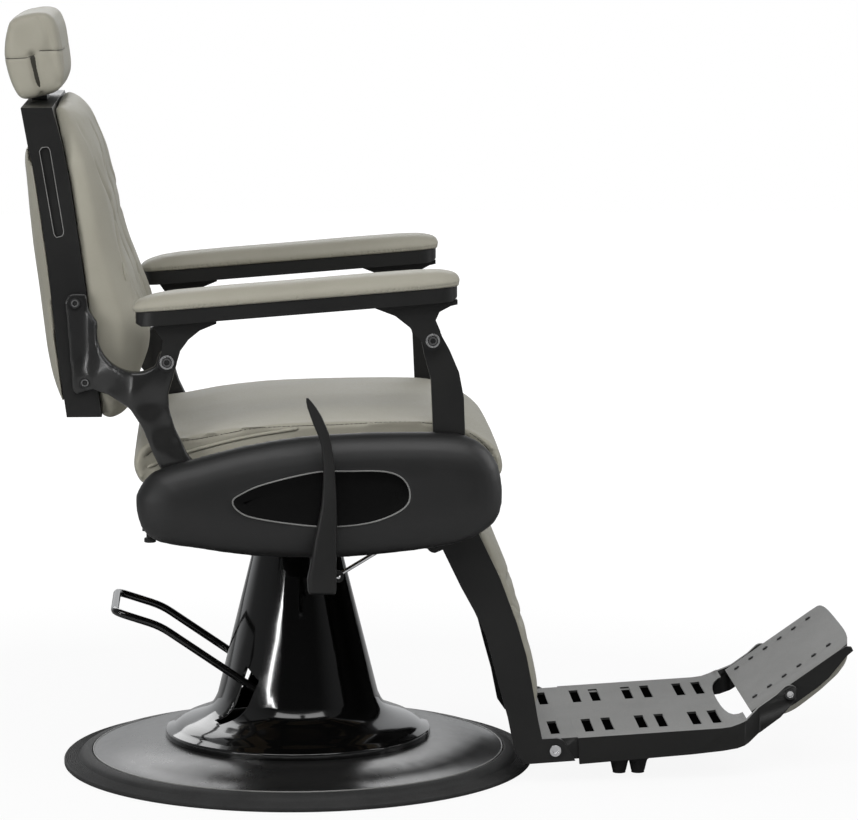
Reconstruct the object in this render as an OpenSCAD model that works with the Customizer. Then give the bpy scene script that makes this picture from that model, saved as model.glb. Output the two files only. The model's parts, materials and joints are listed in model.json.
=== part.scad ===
// Hydraulic barber chair: pump base, reclining seat, linked arms and leg rest.
// Millimetres. X points where the sitter faces, Y to the sitter's left, Z up.
// The origin is the middle of the base, on the floor. The lift is at its lowest.

/* [Base] */
// Radius of the base on the floor
base_r = 330; // [310:1:350]
// Width of the rubber rim round the base plate
rim_w = 40; // [30:1:50]
// Height of the rubber rim at its inner seam
rim_h = 19; // [16:1:24]
// Height of the rim's upright outer lip
rim_lip_h = 7; // [5:1:10]
// Rise of the base plate from the rim to the column
plate_rise = 19; // [12:1:24]
// Wall of the base plate
plate_wall = 7; // [5:1:9]

/* [Column cover] */
// Radius of the cover's foot flange
foot_r = 187; // [178:1:200]
// Height of the foot flange's edge
foot_edge_h = 9; // [6:1:14]
// Radius where the cone meets the flange
cone_r = 113; // [108:1:120]
// Radius of the cone at its top
neck_r = 55; // [52:1:62]
// Height of the cover's top above the floor
cover_h = 326; // [310:1:330]
// Wall of the cover
cover_wall = 3; // [2:0.5:5]

/* [Pump] */
// Radius of the pump's cylinder
pump_r = 42; // [38:1:46]
// Radius of the lifting ram
ram_r = 25; // [20:1:28]
// Travel of the lift
lift_travel = 150; // [100:5:170]
// Running clearance round shafts and pins
fit = 0.05; // [0.03:0.01:0.1]

/* [Pump pedal] */
// Distance between the middles of the pedal's two bars
pedal_w = 156; // [140:2:164]
// Diameter of the pedal's bar
pedal_bar_d = 11; // [9:0.5:13]
// Radius of the pedal's shaft
pedal_shaft_r = 8; // [6:0.5:9]
// Horizontal reach of the pedal behind its shaft
pedal_reach = 245; // [230:1:260]

/* [Seat] */
// Width of the seat cushion
seat_w = 484; // [440:4:520]
// Height of the rails between the lift's plate and the cross tubes
mount_rail_h = 48; // [44:1:56]
// Thickness of the board under the cushion
board_t = 10; // [8:1:12]
// Thickness of the side plates
side_plate_t = 5; // [4:0.5:6]
// Thickness of the arm struts
strut_t = 16; // [12:1:18]
// Depth of each domed side shell
shell_t = 34; // [28:1:40]
// Side clearance between parts that turn past each other
side_gap = 0.5; // [0.3:0.1:0.8]

/* [Back] */
// Width of the back frame
frame_w = 430; // [400:2:440]
// Width of the frame's side members
frame_side_w = 26; // [20:1:32]
// Width of the headrest
headrest_w = 260; // [220:2:300]
// Width of the headrest's flat stem
stem_w = 44; // [36:1:56]
// Thickness of the headrest's flat stem
stem_t = 6; // [4:0.5:7]

/* [Linkage] */
// Distance of the back pivot behind the swivel axis
pivot_back = 150; // [145:1:155]
// Height of the back pivot above the cushion's underside
pivot_up = 14; // [12:1:18]
// Length of the arm link between its two pivots, along X
link_run = 352.5; // [345:0.5:360]
// Rise of the arm link between its two pivots
link_rise = 26.8; // [22:0.1:30]
// Height of an arm pivot above its strut's pivot
strut_up = 157; // [150:1:164]
// Distance of an arm pivot behind its strut's pivot
strut_back = 26.6; // [22:0.1:30]
// Radius of the strut pivot pins
pivot_r = 8; // [6:0.5:9]
// Length of the cranks under the back pivot and the leg pivot
crank_l = 60; // [56:1:62]
// Lean of both cranks behind the vertical when the back is upright
crank_lean = 20; // [18:0.5:22]
// Distance of the leg pivot ahead of the back pivot
leg_run = 355; // [350:1:358]
// Drop of the leg pivot below the back pivot
leg_drop = 52; // [48:1:54]

/* [Arms] */
// Distance of an arm pad's middle outside its strut
arm_out = 2; // [1:0.5:6]
// Width of an arm pad
pad_w = 80; // [72:1:88]
// Thickness of an arm pad
pad_t = 22; // [18:1:28]
// Width of an arm rail
rail_w = 66; // [60:1:70]
// Height of an arm rail
rail_h = 19; // [16:1:22]
// Thickness of the arm brackets
bracket_t = 18; // [14:1:20]

/* [Leg rest] */
// Width of the leg rest over its side plates
leg_w = 356; // [340:2:364]
// Thickness of the leg rest's side plates
leg_plate_t = 8; // [6:1:10]
// Distance of the footplate's wings inside the leg rest's outer faces
foot_in = 3; // [1:1:6]
// Distance that the footplate's wings step inwards before the toe plate
wing_step = 23; // [18:1:26]
// Thickness of the footplate's sheet
sheet_t = 3; // [2:0.5:4]
// Tilt of the footplate's tread above the level
tread_tilt = 3.3; // [2:0.1:5]
// Tilt of the toe plate above the level
toe_tilt = 35; // [32:0.5:38]
// Radius of the footplate's hinge bolts
foot_bolt_r = 5; // [4:0.5:6]

/* [Lever] */
// Radius of the recline lever's shaft
lever_shaft_r = 7; // [6:0.5:8]
// Length of the recline lever above its shaft
lever_up = 251; // [230:1:270]

/* [Hidden] */

$fn = 48;

black_metal = [0.16, 0.16, 0.17];
gloss_black = [0.05, 0.05, 0.05];
leather = [0.55, 0.54, 0.48];
steel = [0.72, 0.72, 0.73];
rubber = [0.22, 0.22, 0.22];
tread_grey = [0.42, 0.42, 0.42];
plywood = [0.74, 0.62, 0.45];

// ---- Layers across the chair, from the cushion's side outwards ----
cushion_y = seat_w / 2;
plate_in = cushion_y + 1.5;
plate_out = plate_in + side_plate_t;
strut_in = plate_out + side_gap;
strut_out = strut_in + strut_t;
shell_in = strut_out + 3;
shell_out = shell_in + shell_t;
bracket_in = strut_out + side_gap;
bracket_out = bracket_in + bracket_t;
arm_y = strut_out + arm_out;

// ---- Vertical build-up of the seat frame, from the column's top upwards ----
swivel_plate_z = cover_h + 18;
swivel_plate_t = 8;
deck_z = swivel_plate_z + swivel_plate_t;
tube_h = 20;
tube_z = deck_z + mount_rail_h;
board_z = tube_z + tube_h;
seat_z = board_z + board_t;

// ---- Pivots in the side view, as [x, z] ----
back_pivot = [-pivot_back, seat_z + pivot_up];
strut_pivot = back_pivot + [link_run, link_rise];
arm_offset = [-strut_back, strut_up];
rear_arm_pivot = back_pivot + arm_offset;
front_arm_pivot = strut_pivot + arm_offset;
leg_pivot = back_pivot + [leg_run, -leg_drop];
crank = crank_l * [-sin(crank_lean), -cos(crank_lean)];
back_crank = back_pivot + crank;
leg_crank = leg_pivot + crank;
foot_pivot = leg_pivot + [145, -345];
toe_pivot = foot_pivot + [327.5, 70.3];
lever_pivot = [27, seat_z - 122];
pedal_pivot = [-10, 81];

// Half of the height that the crank's end climbs and falls as the back reclines
crank_rise = crank_l * (1 - cos(crank_lean)) / 2;

// ---- Gas spring and leg links ----
leg_half = leg_w / 2;
gas_z = back_crank[1] - crank_rise;
gas_y = -leg_half - 17;
link_y = 140;

// ---- Outline helpers ----
// Points along an arc round centre c
function arc(c, r, a0, a1, n = 8) =
    [for (i = [0:n]) let (a = a0 + (a1 - a0) * i / n) c + r * [cos(a), sin(a)]];
// Outline points moved by v
function moved(points, v) = [for (p = points) p + v];
// One Catmull-Rom point between p1 and p2
function between(p0, p1, p2, p3, t) =
    0.5 * (2 * p1 + (p2 - p0) * t + (2 * p0 - 5 * p1 + 4 * p2 - p3) * t * t
        + (3 * p1 - p0 - 3 * p2 + p3) * t * t * t);
// Smooth closed outline through the points, n steps from one to the next
function smooth(p, n = 3) = let (m = len(p))
    [for (i = [0:m - 1], k = [0:n - 1])
        between(p[(i + m - 1) % m], p[i], p[(i + 1) % m], p[(i + 2) % m], k / n)];
// Smooth open curve through the points
function curve(p, n = 4) = let (m = len(p) - 1)
    [for (i = [0:m - 1], k = [0:n - 1])
        between(p[max(i - 1, 0)], p[i], p[i + 1], p[min(i + 2, m)], k / n), p[m]];
// Value at x of a table of [x, value] rows, straight between rows
function at(table, x, i = 0) =
    (x <= table[i + 1][0] || i == len(table) - 2)
    ? table[i][1] + (table[i + 1][1] - table[i][1])
        * min(max((x - table[i][0]) / (table[i + 1][0] - table[i][0]), 0), 1)
    : at(table, x, i + 1);
// Unit vector
function unit(v) = v / max(norm(v), 0.001);
// Counter-clockwise outline drawn in by d along its own normals
function inset(p, d) = let (m = len(p))
    [for (i = [0:m - 1]) let (t = unit(p[(i + 1) % m] - p[(i + m - 1) % m])) p[i] + d * [-t[1], t[0]]];
// Nearest point to q on the segment from a to b
function nearest(q, a, b) = a + (b - a) * min(max((q - a) * (b - a) / ((b - a) * (b - a)), 0), 1);
// Outline drawn in by d towards a core segment
function drawn_in(p, d, a, b) = [for (q = p) q + d * unit(nearest(q, a, b) - q)];
// Path with each inner corner rounded from a distance d before it to d after it
function soft_path(p, d, n = 4) = [p[0],
    for (i = [1:len(p) - 2]) let (a = p[i] + d * unit(p[i - 1] - p[i]), b = p[i] + d * unit(p[i + 1] - p[i]))
        for (k = [0:n]) let (t = k / n) (1 - t) * (1 - t) * a + 2 * t * (1 - t) * p[i] + t * t * b,
    p[len(p) - 1]];
// Side vectors carried along the tangents t without twist, from the first side vector u
function carried(t, u, i = 0) = i == len(t) ? []
    : let (v = unit(u - (u * t[i]) * t[i])) concat([v], carried(t, v, i + 1));
// Signed area, positive for a counter-clockwise outline
function area(p) = let (m = len(p))
    0.5 * [for (i = [0:m - 1]) p[i][0] * p[(i + 1) % m][1] - p[(i + 1) % m][0] * p[i][1]]
    * [for (i = [0:m - 1]) 1];
function reversed(p) = [for (i = [len(p) - 1:-1:0]) p[i]];
function ccw(p) = area(p) > 0 ? p : reversed(p);

// ---- Solid helpers ----
// Middle of a ring, and the direction that its points turn about
function middle(ring) = [for (i = ring) 1] * ring / len(ring);
function turning(ring) = let (n = len(ring), c = middle(ring))
    [for (i = [0:n - 1]) 1] * [for (i = [0:n - 1]) cross(ring[i] - c, ring[(i + 1) % n] - c)];

// Closed skin over rings of equal length, listed from one end to the other
module loft(rings) {
    m = len(rings);
    forward = turning(rings[0]) * (middle(rings[1]) - middle(rings[0])) < 0;
    ordered = forward ? rings : reversed(rings);
    n = len(rings[0]);
    points = [for (ring = ordered) each ring];
    sides = [for (k = [0:m - 2], i = [0:n - 1]) let (j = (i + 1) % n)
        each [[k * n + i, k * n + j, (k + 1) * n + j], [k * n + i, (k + 1) * n + j, (k + 1) * n + i]]];
    caps = [[for (i = [n - 1:-1:0]) i], [for (i = [0:n - 1]) (m - 1) * n + i]];
    polyhedron(points, concat(sides, caps));
}

// Ring of a side-view outline at a distance y, from [x, z] to [x, y, z]
function ring_y(p, y) = [for (q = p) [q[0], y, q[1]]];

// Side-view outline extruded from y0 to y1
module slab(points, y0, y1) {
    translate([0, y1, 0])
        rotate([90, 0, 0])
            linear_extrude(y1 - y0)
                polygon(points);
}

// Round bar or hole along Y
module bar_y(c, r, y0, y1) {
    translate([c[0], y1, c[1]])
        rotate([90, 0, 0])
            cylinder(r = r, h = y1 - y0);
}

// Round bar between two points
module rod(p0, p1, r) {
    v = p1 - p0;
    translate(p0)
        rotate([0, acos(v[2] / norm(v)), atan2(v[1], v[0])])
            cylinder(r = r, h = norm(v));
}

// Bent round bar through a list of points, with a knuckle at each bend
module bent_bar(points, r) {
    for (i = [0:len(points) - 2])
        rod(points[i], points[i + 1], r);
    for (i = [1:len(points) - 2])
        translate(points[i])
            sphere(r = r + 0.3);
}

// Tube of radius r swept along a path, u being a side vector at its start
module tube(path, r, u, sides = 12) {
    m = len(path) - 1;
    t = [for (i = [0:m]) unit(path[min(i + 1, m)] - path[max(i - 1, 0)])];
    v = carried(t, u);
    loft([for (i = [0:m]) let (w = cross(t[i], v[i]))
        [for (k = [0:sides - 1]) let (a = -360 * k / sides) path[i] + r * (cos(a) * v[i] + sin(a) * w)]]);
}

// Socket-head bolt along Y: head out at y_head, shank inwards to y_end
module socket_bolt(c, shank_r, head_r, head_t, y_head, y_end) {
    s = sign(y_head - y_end);
    difference() {
        union() {
            bar_y(c, shank_r, min(y_head, y_end), max(y_head, y_end));
            bar_y(c, head_r, min(y_head, y_head + s * head_t), max(y_head, y_head + s * head_t));
        }
        translate([c[0], y_head + s * head_t, c[1]])
            rotate([90, 0, 0])
                cylinder(r = head_r * 0.5, h = head_t, center = true, $fn = 6);
    }
}

// The right side as drawn, or the left side mirrored from it
module side(name) {
    if (name == "left")
        mirror([0, 1, 0])
            children();
    else
        children();
}

// ---- Base ----
seam_r = base_r - rim_w;
foot_z = rim_h + plate_rise;
pump_foot_r = 34;
pump_bolt_circle = pump_r + 20;

module base_plate() {
    color(black_metal)
        difference() {
            rotate_extrude($fn = 96)
                polygon(concat(
                    [[0, foot_z - plate_wall]],
                    [[foot_r * 0.7, foot_z - plate_wall]],
                    [for (t = [0:0.25:1]) [foot_r * 0.7 + (seam_r - 8 - foot_r * 0.7) * t,
                        foot_z - plate_wall - (plate_rise + 3) * t * t]],
                    [[seam_r - 8, 2], [seam_r - 0.2, 2], [seam_r - 0.2, rim_h - 1.5], [seam_r - 1.5, rim_h]],
                    [for (t = [0:0.25:1]) [seam_r - 4 - (seam_r - 4 - foot_r) * t,
                        rim_h + plate_rise * (1 - (1 - t) * (1 - t))]],
                    [[0, foot_z]]));
            translate([0, 0, foot_z - plate_wall - 1])
                cylinder(r = pump_foot_r + 0.3, h = plate_wall + 2);
            for (a = [45:90:315])
                rotate([0, 0, a])
                    translate([pump_bolt_circle, 0, foot_z - plate_wall - 1])
                        cylinder(r = 6, h = plate_wall + 2);
        }
}

module base_rim() {
    step = rim_w / 8;
    color(rubber)
        rotate_extrude($fn = 96)
            polygon(concat(
                [[seam_r, 0], [base_r, 0], [base_r, rim_lip_h - 1], [base_r - 1, rim_lip_h]],
                [for (k = [0:2]) each [
                    [base_r - 1 - step * (k + 0.6), rim_lip_h + 1.2 + k * 0.4],
                    [base_r - 1 - step * (k + 0.8), rim_lip_h + 0.5 + k * 0.4]]],
                [[base_r - 4 * step, rim_lip_h + 2.5], [base_r - 4.4 * step, rim_lip_h + 6],
                    [base_r - 5 * step, rim_h - 3.5]],
                [[base_r - 6.4 * step, rim_h - 1], [seam_r + 1, rim_h - 0.2], [seam_r, rim_h - 1]]));
}

// Outer line of the column cover, from the flange's edge to the neck
function cover_line() = concat(
    [[foot_r, foot_z + 0.3], [foot_r, foot_z + foot_edge_h - 3]],
    arc([foot_r - 5, foot_z + foot_edge_h - 3], 5, 0, 50, 3),
    curve([[foot_r - 10, foot_z + foot_edge_h + 4], [foot_r - 24, foot_z + 22],
        [cone_r + 22, foot_z + 33], [cone_r + 8, foot_z + 43], [cone_r, foot_z + 58]], 3),
    [[neck_r + 2, cover_h - 4], [neck_r, cover_h - 1]]);

module column_cover() {
    line = cover_line();
    n = len(line);
    slot_w = pedal_bar_d + 10;
    color(gloss_black)
        difference() {
            rotate_extrude($fn = 96)
                polygon(concat(line, [[neck_r - 1, cover_h], [neck_r - cover_wall, cover_h]],
                    [for (i = [n - 2:-1:0]) [line[i][0] - cover_wall, line[i][1] - (i < 6 ? 0 : cover_wall / 2)]]));
            for (s = [-1, 1])
                slab([[-foot_r * 0.85, foot_z + 46], [-cone_r + 10, foot_z + 28], [-52, foot_z + 20],
                    [-44, foot_z + 40], [-50, foot_z + 86], [-cone_r, foot_z + 150], [-foot_r, foot_z + 150]],
                    s * pedal_w / 2 - slot_w / 2, s * pedal_w / 2 + slot_w / 2);
        }
}

// ---- Pump ----
pump_top = cover_h - 6;
ram_bottom = 104;
block_half = 46;

// The plunger stands ahead of the pedal's shaft, beside the pump's block
plunger_arm = 40;
plunger_x = pedal_pivot[0] + plunger_arm;
plunger_y = -(block_half + 16);
roller_r = 6;
plunger_foot_z = pedal_pivot[1] + roller_r + 0.5;
barrel_z = plunger_foot_z + 36;
plunger_r = 7;

module pump_cylinder() {
    color(steel)
        difference() {
            union() {
                // Foot that stands on the floor through the base plate
                cylinder(r = pump_foot_r, h = foot_z + 1);
                translate([0, 0, foot_z])
                    cylinder(r = pump_r + 30, h = 12);
                translate([-34, -block_half, foot_z + 12])
                    cube([68, 2 * block_half, 48]);
                translate([0, 0, foot_z + 60])
                    cylinder(r = pump_r, h = pump_top - foot_z - 60);
                // Barrel of the plunger and its bridge to the cylinder
                translate([plunger_x, plunger_y, barrel_z])
                    cylinder(r = 13, h = 40);
                translate([plunger_x - 11, plunger_y, barrel_z])
                    cube([22, -plunger_y - 20, 40]);
            }
            translate([0, 0, ram_bottom - 4])
                cylinder(r = ram_r + fit, h = pump_top);
            translate([plunger_x, plunger_y, barrel_z - 1])
                cylinder(r = plunger_r + fit, h = 36);
            bar_y(pedal_pivot, pedal_shaft_r + fit, -block_half - 1, block_half + 1);
            for (a = [45:90:315])
                rotate([0, 0, a])
                    translate([pump_bolt_circle, 0, foot_z - 1])
                        cylinder(r = 6, h = 14);
        }
}

module pump_bolts() {
    color(steel)
        for (a = [45:90:315])
            rotate([0, 0, a])
                translate([pump_bolt_circle, 0, foot_z - plate_wall]) {
                    cylinder(r = 5.9, h = plate_wall + 12);
                    translate([0, 0, plate_wall + 12])
                        cylinder(r = 9.5, h = 6, $fn = 6);
                }
}

module pump_plunger() {
    color(steel)
        translate([plunger_x, plunger_y, plunger_foot_z]) {
            cylinder(r = 10, h = 4);
            translate([0, 0, 4])
                cylinder(r = plunger_r, h = 44);
        }
}

spring_wire = 1.6;
spring_turns = 4;
module plunger_spring() {
    spring_r = 10;
    z0 = plunger_foot_z + 4 + spring_wire / 2 + 0.2;
    z1 = barrel_z - spring_wire / 2 - 0.2;
    steps = spring_turns * 10;
    color(steel)
        loft([for (i = [0:steps]) let (a = 360 * i / 10, z = z0 + (z1 - z0) * i / steps)
            [for (k = [0:5]) let (b = -60 * k)
                [plunger_x + (spring_r + spring_wire / 2 * cos(b)) * cos(a),
                    plunger_y + (spring_r + spring_wire / 2 * cos(b)) * sin(a), z + spring_wire / 2 * sin(b)]]]);
}

// ---- Pedal ----
pedal_y = pedal_w / 2;
pedal_knee = pedal_pivot + [-182, 126];
pedal_end = pedal_pivot + [-pedal_reach, 147];

module pump_pedal() {
    corners = [for (q = [[pedal_pivot, 1], [pedal_knee, 1], [pedal_end, 1], [pedal_end, -1], [pedal_knee, -1],
        [pedal_pivot, -1]]) [q[0][0], -q[1] * pedal_y, q[0][1]]];
    color(gloss_black)
        difference() {
            union() {
                tube(soft_path(corners, 16), pedal_bar_d / 2, [0, 1, 0]);
                for (s = [-1, 1])
                    bar_y(pedal_pivot, pedal_shaft_r + 6, s * pedal_y - 9, s * pedal_y + 9);
            }
            bar_y(pedal_pivot, pedal_shaft_r, -pedal_y - 20, pedal_y + 20);
        }
}

module pedal_shaft() {
    color(steel) {
        bar_y(pedal_pivot, pedal_shaft_r, -pedal_y - 9, pedal_y + 9);
        slab([pedal_pivot + [0, -5], pedal_pivot + [plunger_arm, -5], pedal_pivot + [plunger_arm, 5],
            pedal_pivot + [0, 5]], plunger_y - 5, plunger_y + 5);
        bar_y([plunger_x, pedal_pivot[1]], roller_r, plunger_y - 5, plunger_y + 5);
    }
}

module lift_ram() {
    color(steel) {
        translate([0, 0, ram_bottom])
            cylinder(r = ram_r, h = swivel_plate_z - 8 - ram_bottom);
        translate([0, 0, swivel_plate_z - 8])
            cylinder(r = ram_r - 4, h = swivel_plate_t + 8);
    }
}

// ---- Seat frame ----
module swivel_plate() {
    color(black_metal)
        difference() {
            union() {
                translate([-95, -95, swivel_plate_z])
                    cube([190, 190, swivel_plate_t]);
                translate([0, 0, swivel_plate_z - 8])
                    cylinder(r = ram_r + 14, h = 8);
            }
            translate([0, 0, swivel_plate_z - 9])
                cylinder(r = ram_r - 4 + fit, h = swivel_plate_t + 10);
        }
}

module mount_rails() {
    length = 270;
    width = 30;
    wall = 4;
    color(black_metal)
        for (s = [-1, 1])
            translate([-105, s * 75 - width / 2, deck_z])
                difference() {
                    cube([length, width, mount_rail_h]);
                    translate([-1, wall, wall])
                        cube([length + 2, width - 2 * wall, mount_rail_h - 2 * wall]);
                }
}

// Square tube across the seat, from side plate to side plate
module cross_tube(x0) {
    wall = 3;
    difference() {
        translate([x0, -plate_in, tube_z])
            cube([tube_w, 2 * plate_in, tube_h]);
        translate([x0 + wall, -plate_in - 1, tube_z + wall])
            cube([tube_w - 2 * wall, 2 * plate_in + 2, tube_h - 2 * wall]);
    }
}

tube_w = 40;
front_tube_x = leg_pivot[0] - 58;
lug_t = 8;
lug_y = leg_w / 2 - leg_plate_t - side_gap - lug_t;
gas_anchor_x = front_tube_x + 10;

module front_cross_tube() {
    color(black_metal) {
        cross_tube(front_tube_x);
        // Lugs that carry the leg rest
        for (s = [-1, 1])
            difference() {
                slab([[front_tube_x + 10, tube_z], [front_tube_x + 10, leg_pivot[1] - 8],
                    each arc(leg_pivot, 13, 230, 450, 14), [front_tube_x + tube_w - 1, leg_pivot[1] + 13]],
                    s * (lug_y + lug_t / 2) - lug_t / 2, s * (lug_y + lug_t / 2) + lug_t / 2);
                bar_y(leg_pivot, pivot_r, s * lug_y - lug_t - 2, s * lug_y + lug_t + 2);
            }
    }
}

// Block under the front tube that holds the gas spring's rod and the release arm's pivot
module gas_anchor() {
    lug = release_pivot;
    color(black_metal)
        difference() {
            union() {
                translate([gas_anchor_x - 10, gas_y - 12, gas_z - 12])
                    cube([20, 24, tube_z - gas_z + 12]);
                slab(concat(arc(lug, 8, 100, 290, 8), [[gas_anchor_x - 9, gas_z - 12], [gas_anchor_x - 9, gas_z - 8]]),
                    gas_y - 12, gas_y - 8);
            }
            translate([gas_anchor_x - 12, gas_y, gas_z])
                rotate([0, 90, 0])
                    cylinder(r = gas_rod_r, h = 24);
            bar_y(lug, 3 + fit, gas_y - 13, gas_y - 7);
        }
}

module rear_cross_tube() {
    color(black_metal)
        cross_tube(-105);
}

// Right side plate; its ears carry the back pivot and the strut pivot
module side_plate() {
    ear = pivot_r + 9;
    difference() {
        slab(concat(
            [[back_pivot[0] - 6, tube_z + 1]],
            [[leg_pivot[0] + 22, tube_z + 1], [strut_pivot[0] + 18, seat_z + 6]],
            arc(strut_pivot, ear, -10, 190, 12),
            [[strut_pivot[0] - 34, seat_z + 4], [back_pivot[0] + 34, seat_z + 4]],
            arc(back_pivot, ear, -10, 190, 12)), -plate_out, -plate_in);
        bar_y(back_pivot, pivot_r, -plate_out - 1, -plate_in + 1);
        bar_y(strut_pivot, pivot_r, -plate_out - 1, -plate_in + 1);
    }
}

module right_side_plate() {
    color(black_metal)
        side_plate();
}

module left_side_plate() {
    color(black_metal)
        side("left")
            side_plate();
}

// Outline of a side shell, from its rear end over the top, relative to [0, seat_z]
shell_points = moved([[-220, -19], [-216, 0], [-196, 24], [-148, 39], [-77, 57.5], [-2, 69.5], [66, 74],
    [130, 75], [190, 74], [222, 69], [247, 54], [264, 29], [270, -6], [266, -38], [247, -60], [202, -79],
    [99, -92], [31, -95], [-64, -92], [-139, -81], [-190, -72], [-213, -52]], [0, seat_z]);
// Outline of the oval recess in a shell
inset_points = moved([[-91, -13], [-81, -4.5], [-50, 9], [17, 24.5], [65, 26], [112, 25], [136, 15], [145, -6],
    [136, -25], [98, -42], [47, -48.5], [-3, -45.5], [-64, -35.5], [-85, -25]], [0, seat_z]);

// Core line that the shell's dome is drawn in towards
shell_core = moved([[-150, -20], [195, -4]], [0, seat_z]);

module side_shell() {
    outline = ccw(smooth(shell_points, 2));
    oval = ccw(smooth(inset_points, 2));
    edge = 58;
    steps = 7;
    difference() {
        union() {
            loft(concat(
                [ring_y(drawn_in(outline, 3, shell_core[0], shell_core[1]), -shell_in)],
                [for (k = [0:steps]) let (a = 90 * k / steps)
                    ring_y(drawn_in(outline, edge * (1 - cos(a)), shell_core[0], shell_core[1]),
                        -shell_in - 2 - (shell_t - 2) * sin(a))]));
            // Inner block that closes the gap to the side plate between the struts
            slab([[back_pivot[0] + 42, seat_z - 60], [strut_pivot[0] - 76, seat_z - 72],
                [strut_pivot[0] - 76, seat_z + 66], [66, seat_z + 66], [0, seat_z + 61], [-77, seat_z + 48],
                [back_pivot[0] + 42, seat_z + 36]], -shell_in - 1, -plate_out - 0.1);
        }
        slab(oval, -shell_out - 1, -shell_out + 3);
    }
}

module right_side_shell() {
    color(black_metal)
        side_shell();
}

module left_side_shell() {
    color(black_metal)
        side("left")
            side_shell();
}

module shell_inset() {
    oval = ccw(smooth(inset_points, 2));
    y = shell_out - 3;
    loft([ring_y(inset(oval, 1), -y - 0.1), ring_y(inset(oval, 1), -y - 1.5),
        ring_y(inset(oval, 4), -y - 2.2), ring_y(inset(oval, 14), -y - 3)]);
}

module right_shell_inset() {
    color(gloss_black)
        shell_inset();
}

module left_shell_inset() {
    color(gloss_black)
        side("left")
            shell_inset();
}

// ---- Seat ----
module seat_board() {
    color(plywood)
        translate([-196, -cushion_y + 8, board_z])
            cube([451, 2 * cushion_y - 16, board_t]);
}

// Height of the seat cushion along its side
seat_t = 88;
// Side outline of the seat cushion, from the rear underside over the top
seat_points = moved([[-214, 0.3], [-223, 20], [-221, 44], [-207, 58], [-186, 64], [-158, 67], [-113, 76],
    [-43, 84], [27, 87], [97, seat_t], [179, 87], [206, 82], [235, 71], [260, 54], [271, 38], [275, 16], [274, 4]],
    [0, seat_z]);

module seat_cushion() {
    top = curve(seat_points, 2);
    n = len(top);
    // Each row is [share of the half-width, drawing-in of the outline, drop of the crown]
    rows = [[0.965, 15, 0], [0.985, 8, 0], [1, 2, 0], [0.995, 0, -2], [0.97, -1, -5], [0.9, -1, -4],
        [0.62, -1, 4], [0.25, -1, 8]];
    function section(row) = [for (i = [0:n - 1]) let (p = top[i], h = (p[1] - seat_z) / seat_t,
        q = [p[0], p[1] + row[2] * max(h, 0)], c = [20, seat_z + 50])
        [q[0] + (c[0] - q[0]) * max(row[1], 0) / 240 * (abs(q[0] - 20) > 150 ? 1 : 0.4),
            max(q[1] - max(row[1], 0) * h, seat_z + 0.3)]];
    rings = concat(
        [for (row = rows) ring_y(section(row), -cushion_y * row[0])],
        [for (i = [len(rows) - 1:-1:0]) ring_y(section(rows[i]), cushion_y * rows[i][0])]);
    color(leather)
        loft(rings);
}

module rear_stop_bracket() {
    x = -206;
    color(black_metal)
        difference() {
            union() {
                translate([x - 6, -plate_in, seat_z - 62])
                    cube([30, 40, 5]);
                translate([x + 13, -plate_in, seat_z - 62])
                    cube([5, 40, 62 - board_t]);
                translate([x + 4, -plate_in + 20, seat_z - 74])
                    cylinder(r = 5, h = 12);
                translate([x + 4, -plate_in + 20, seat_z - 80])
                    cylinder(r = 8, h = 6);
            }
            translate([x + 4, -plate_in + 20, seat_z - 81])
                cylinder(r = 4, h = 4, $fn = 6);
        }
}

// Headed pins of the back, the arm struts and the leg rest, fixed in the seat frame
module pivot_pins() {
    collar_y = strut_out + 0.2;
    leg_y = leg_w / 2 + 0.3;
    color(steel)
        for (s = [-1, 1]) {
            for (c = [back_pivot, strut_pivot]) {
                bar_y(c, pivot_r, s * (plate_in + collar_y) / 2 - (collar_y - plate_in) / 2,
                    s * (plate_in + collar_y) / 2 + (collar_y - plate_in) / 2);
                bar_y(c, pivot_r + 4, s * (collar_y + 1.2) - 1.2, s * (collar_y + 1.2) + 1.2);
            }
            bar_y(leg_pivot, pivot_r, s * (lug_y + leg_y) / 2 - (leg_y - lug_y) / 2,
                s * (lug_y + leg_y) / 2 + (leg_y - lug_y) / 2);
            bar_y(leg_pivot, pivot_r + 4, s * (leg_y + 2.5) - 2.5, s * (leg_y + 2.5) + 2.5);
        }
}

// ---- Back ----
// Front and rear lines of the back frame in the side view, bottom to top, as [z, x]
frame_front = [[seat_z + 89, -265.2], [seat_z + 170, -276], [seat_z + 256, -284], [seat_z + 316, -292],
    [seat_z + 404, -304], [seat_z + 456, -314], [seat_z + 509, -328]];
frame_rear = [[seat_z + 89, -312.2], [seat_z + 170, -323], [seat_z + 256, -331], [seat_z + 316, -337],
    [seat_z + 404, -349], [seat_z + 456, -360], [seat_z + 502, -368]];
frame_bottom = seat_z + 89;
frame_top = seat_z + 504;
// The headrest's stem leans with the back and leaves the frame here
stem_lean = 11;
stem_foot = [at(frame_rear, frame_top) + 17, frame_top];
board_thick = 12;

// Points of a [z, x] table between two heights, as [x, z], moved back by d
function span(table, z0, z1, d = 0) = [[at(table, z0) - d, z0],
    for (q = table) if (q[0] > z0 + 0.01 && q[0] < z1 - 0.01) [q[1] - d, q[0]],
    [at(table, z1) - d, z1]];
// Closed side outline of the frame between two heights
function frame_outline(z0, z1) = concat(span(frame_front, z0, z1), reversed(span(frame_rear, z0, z1)));

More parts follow.
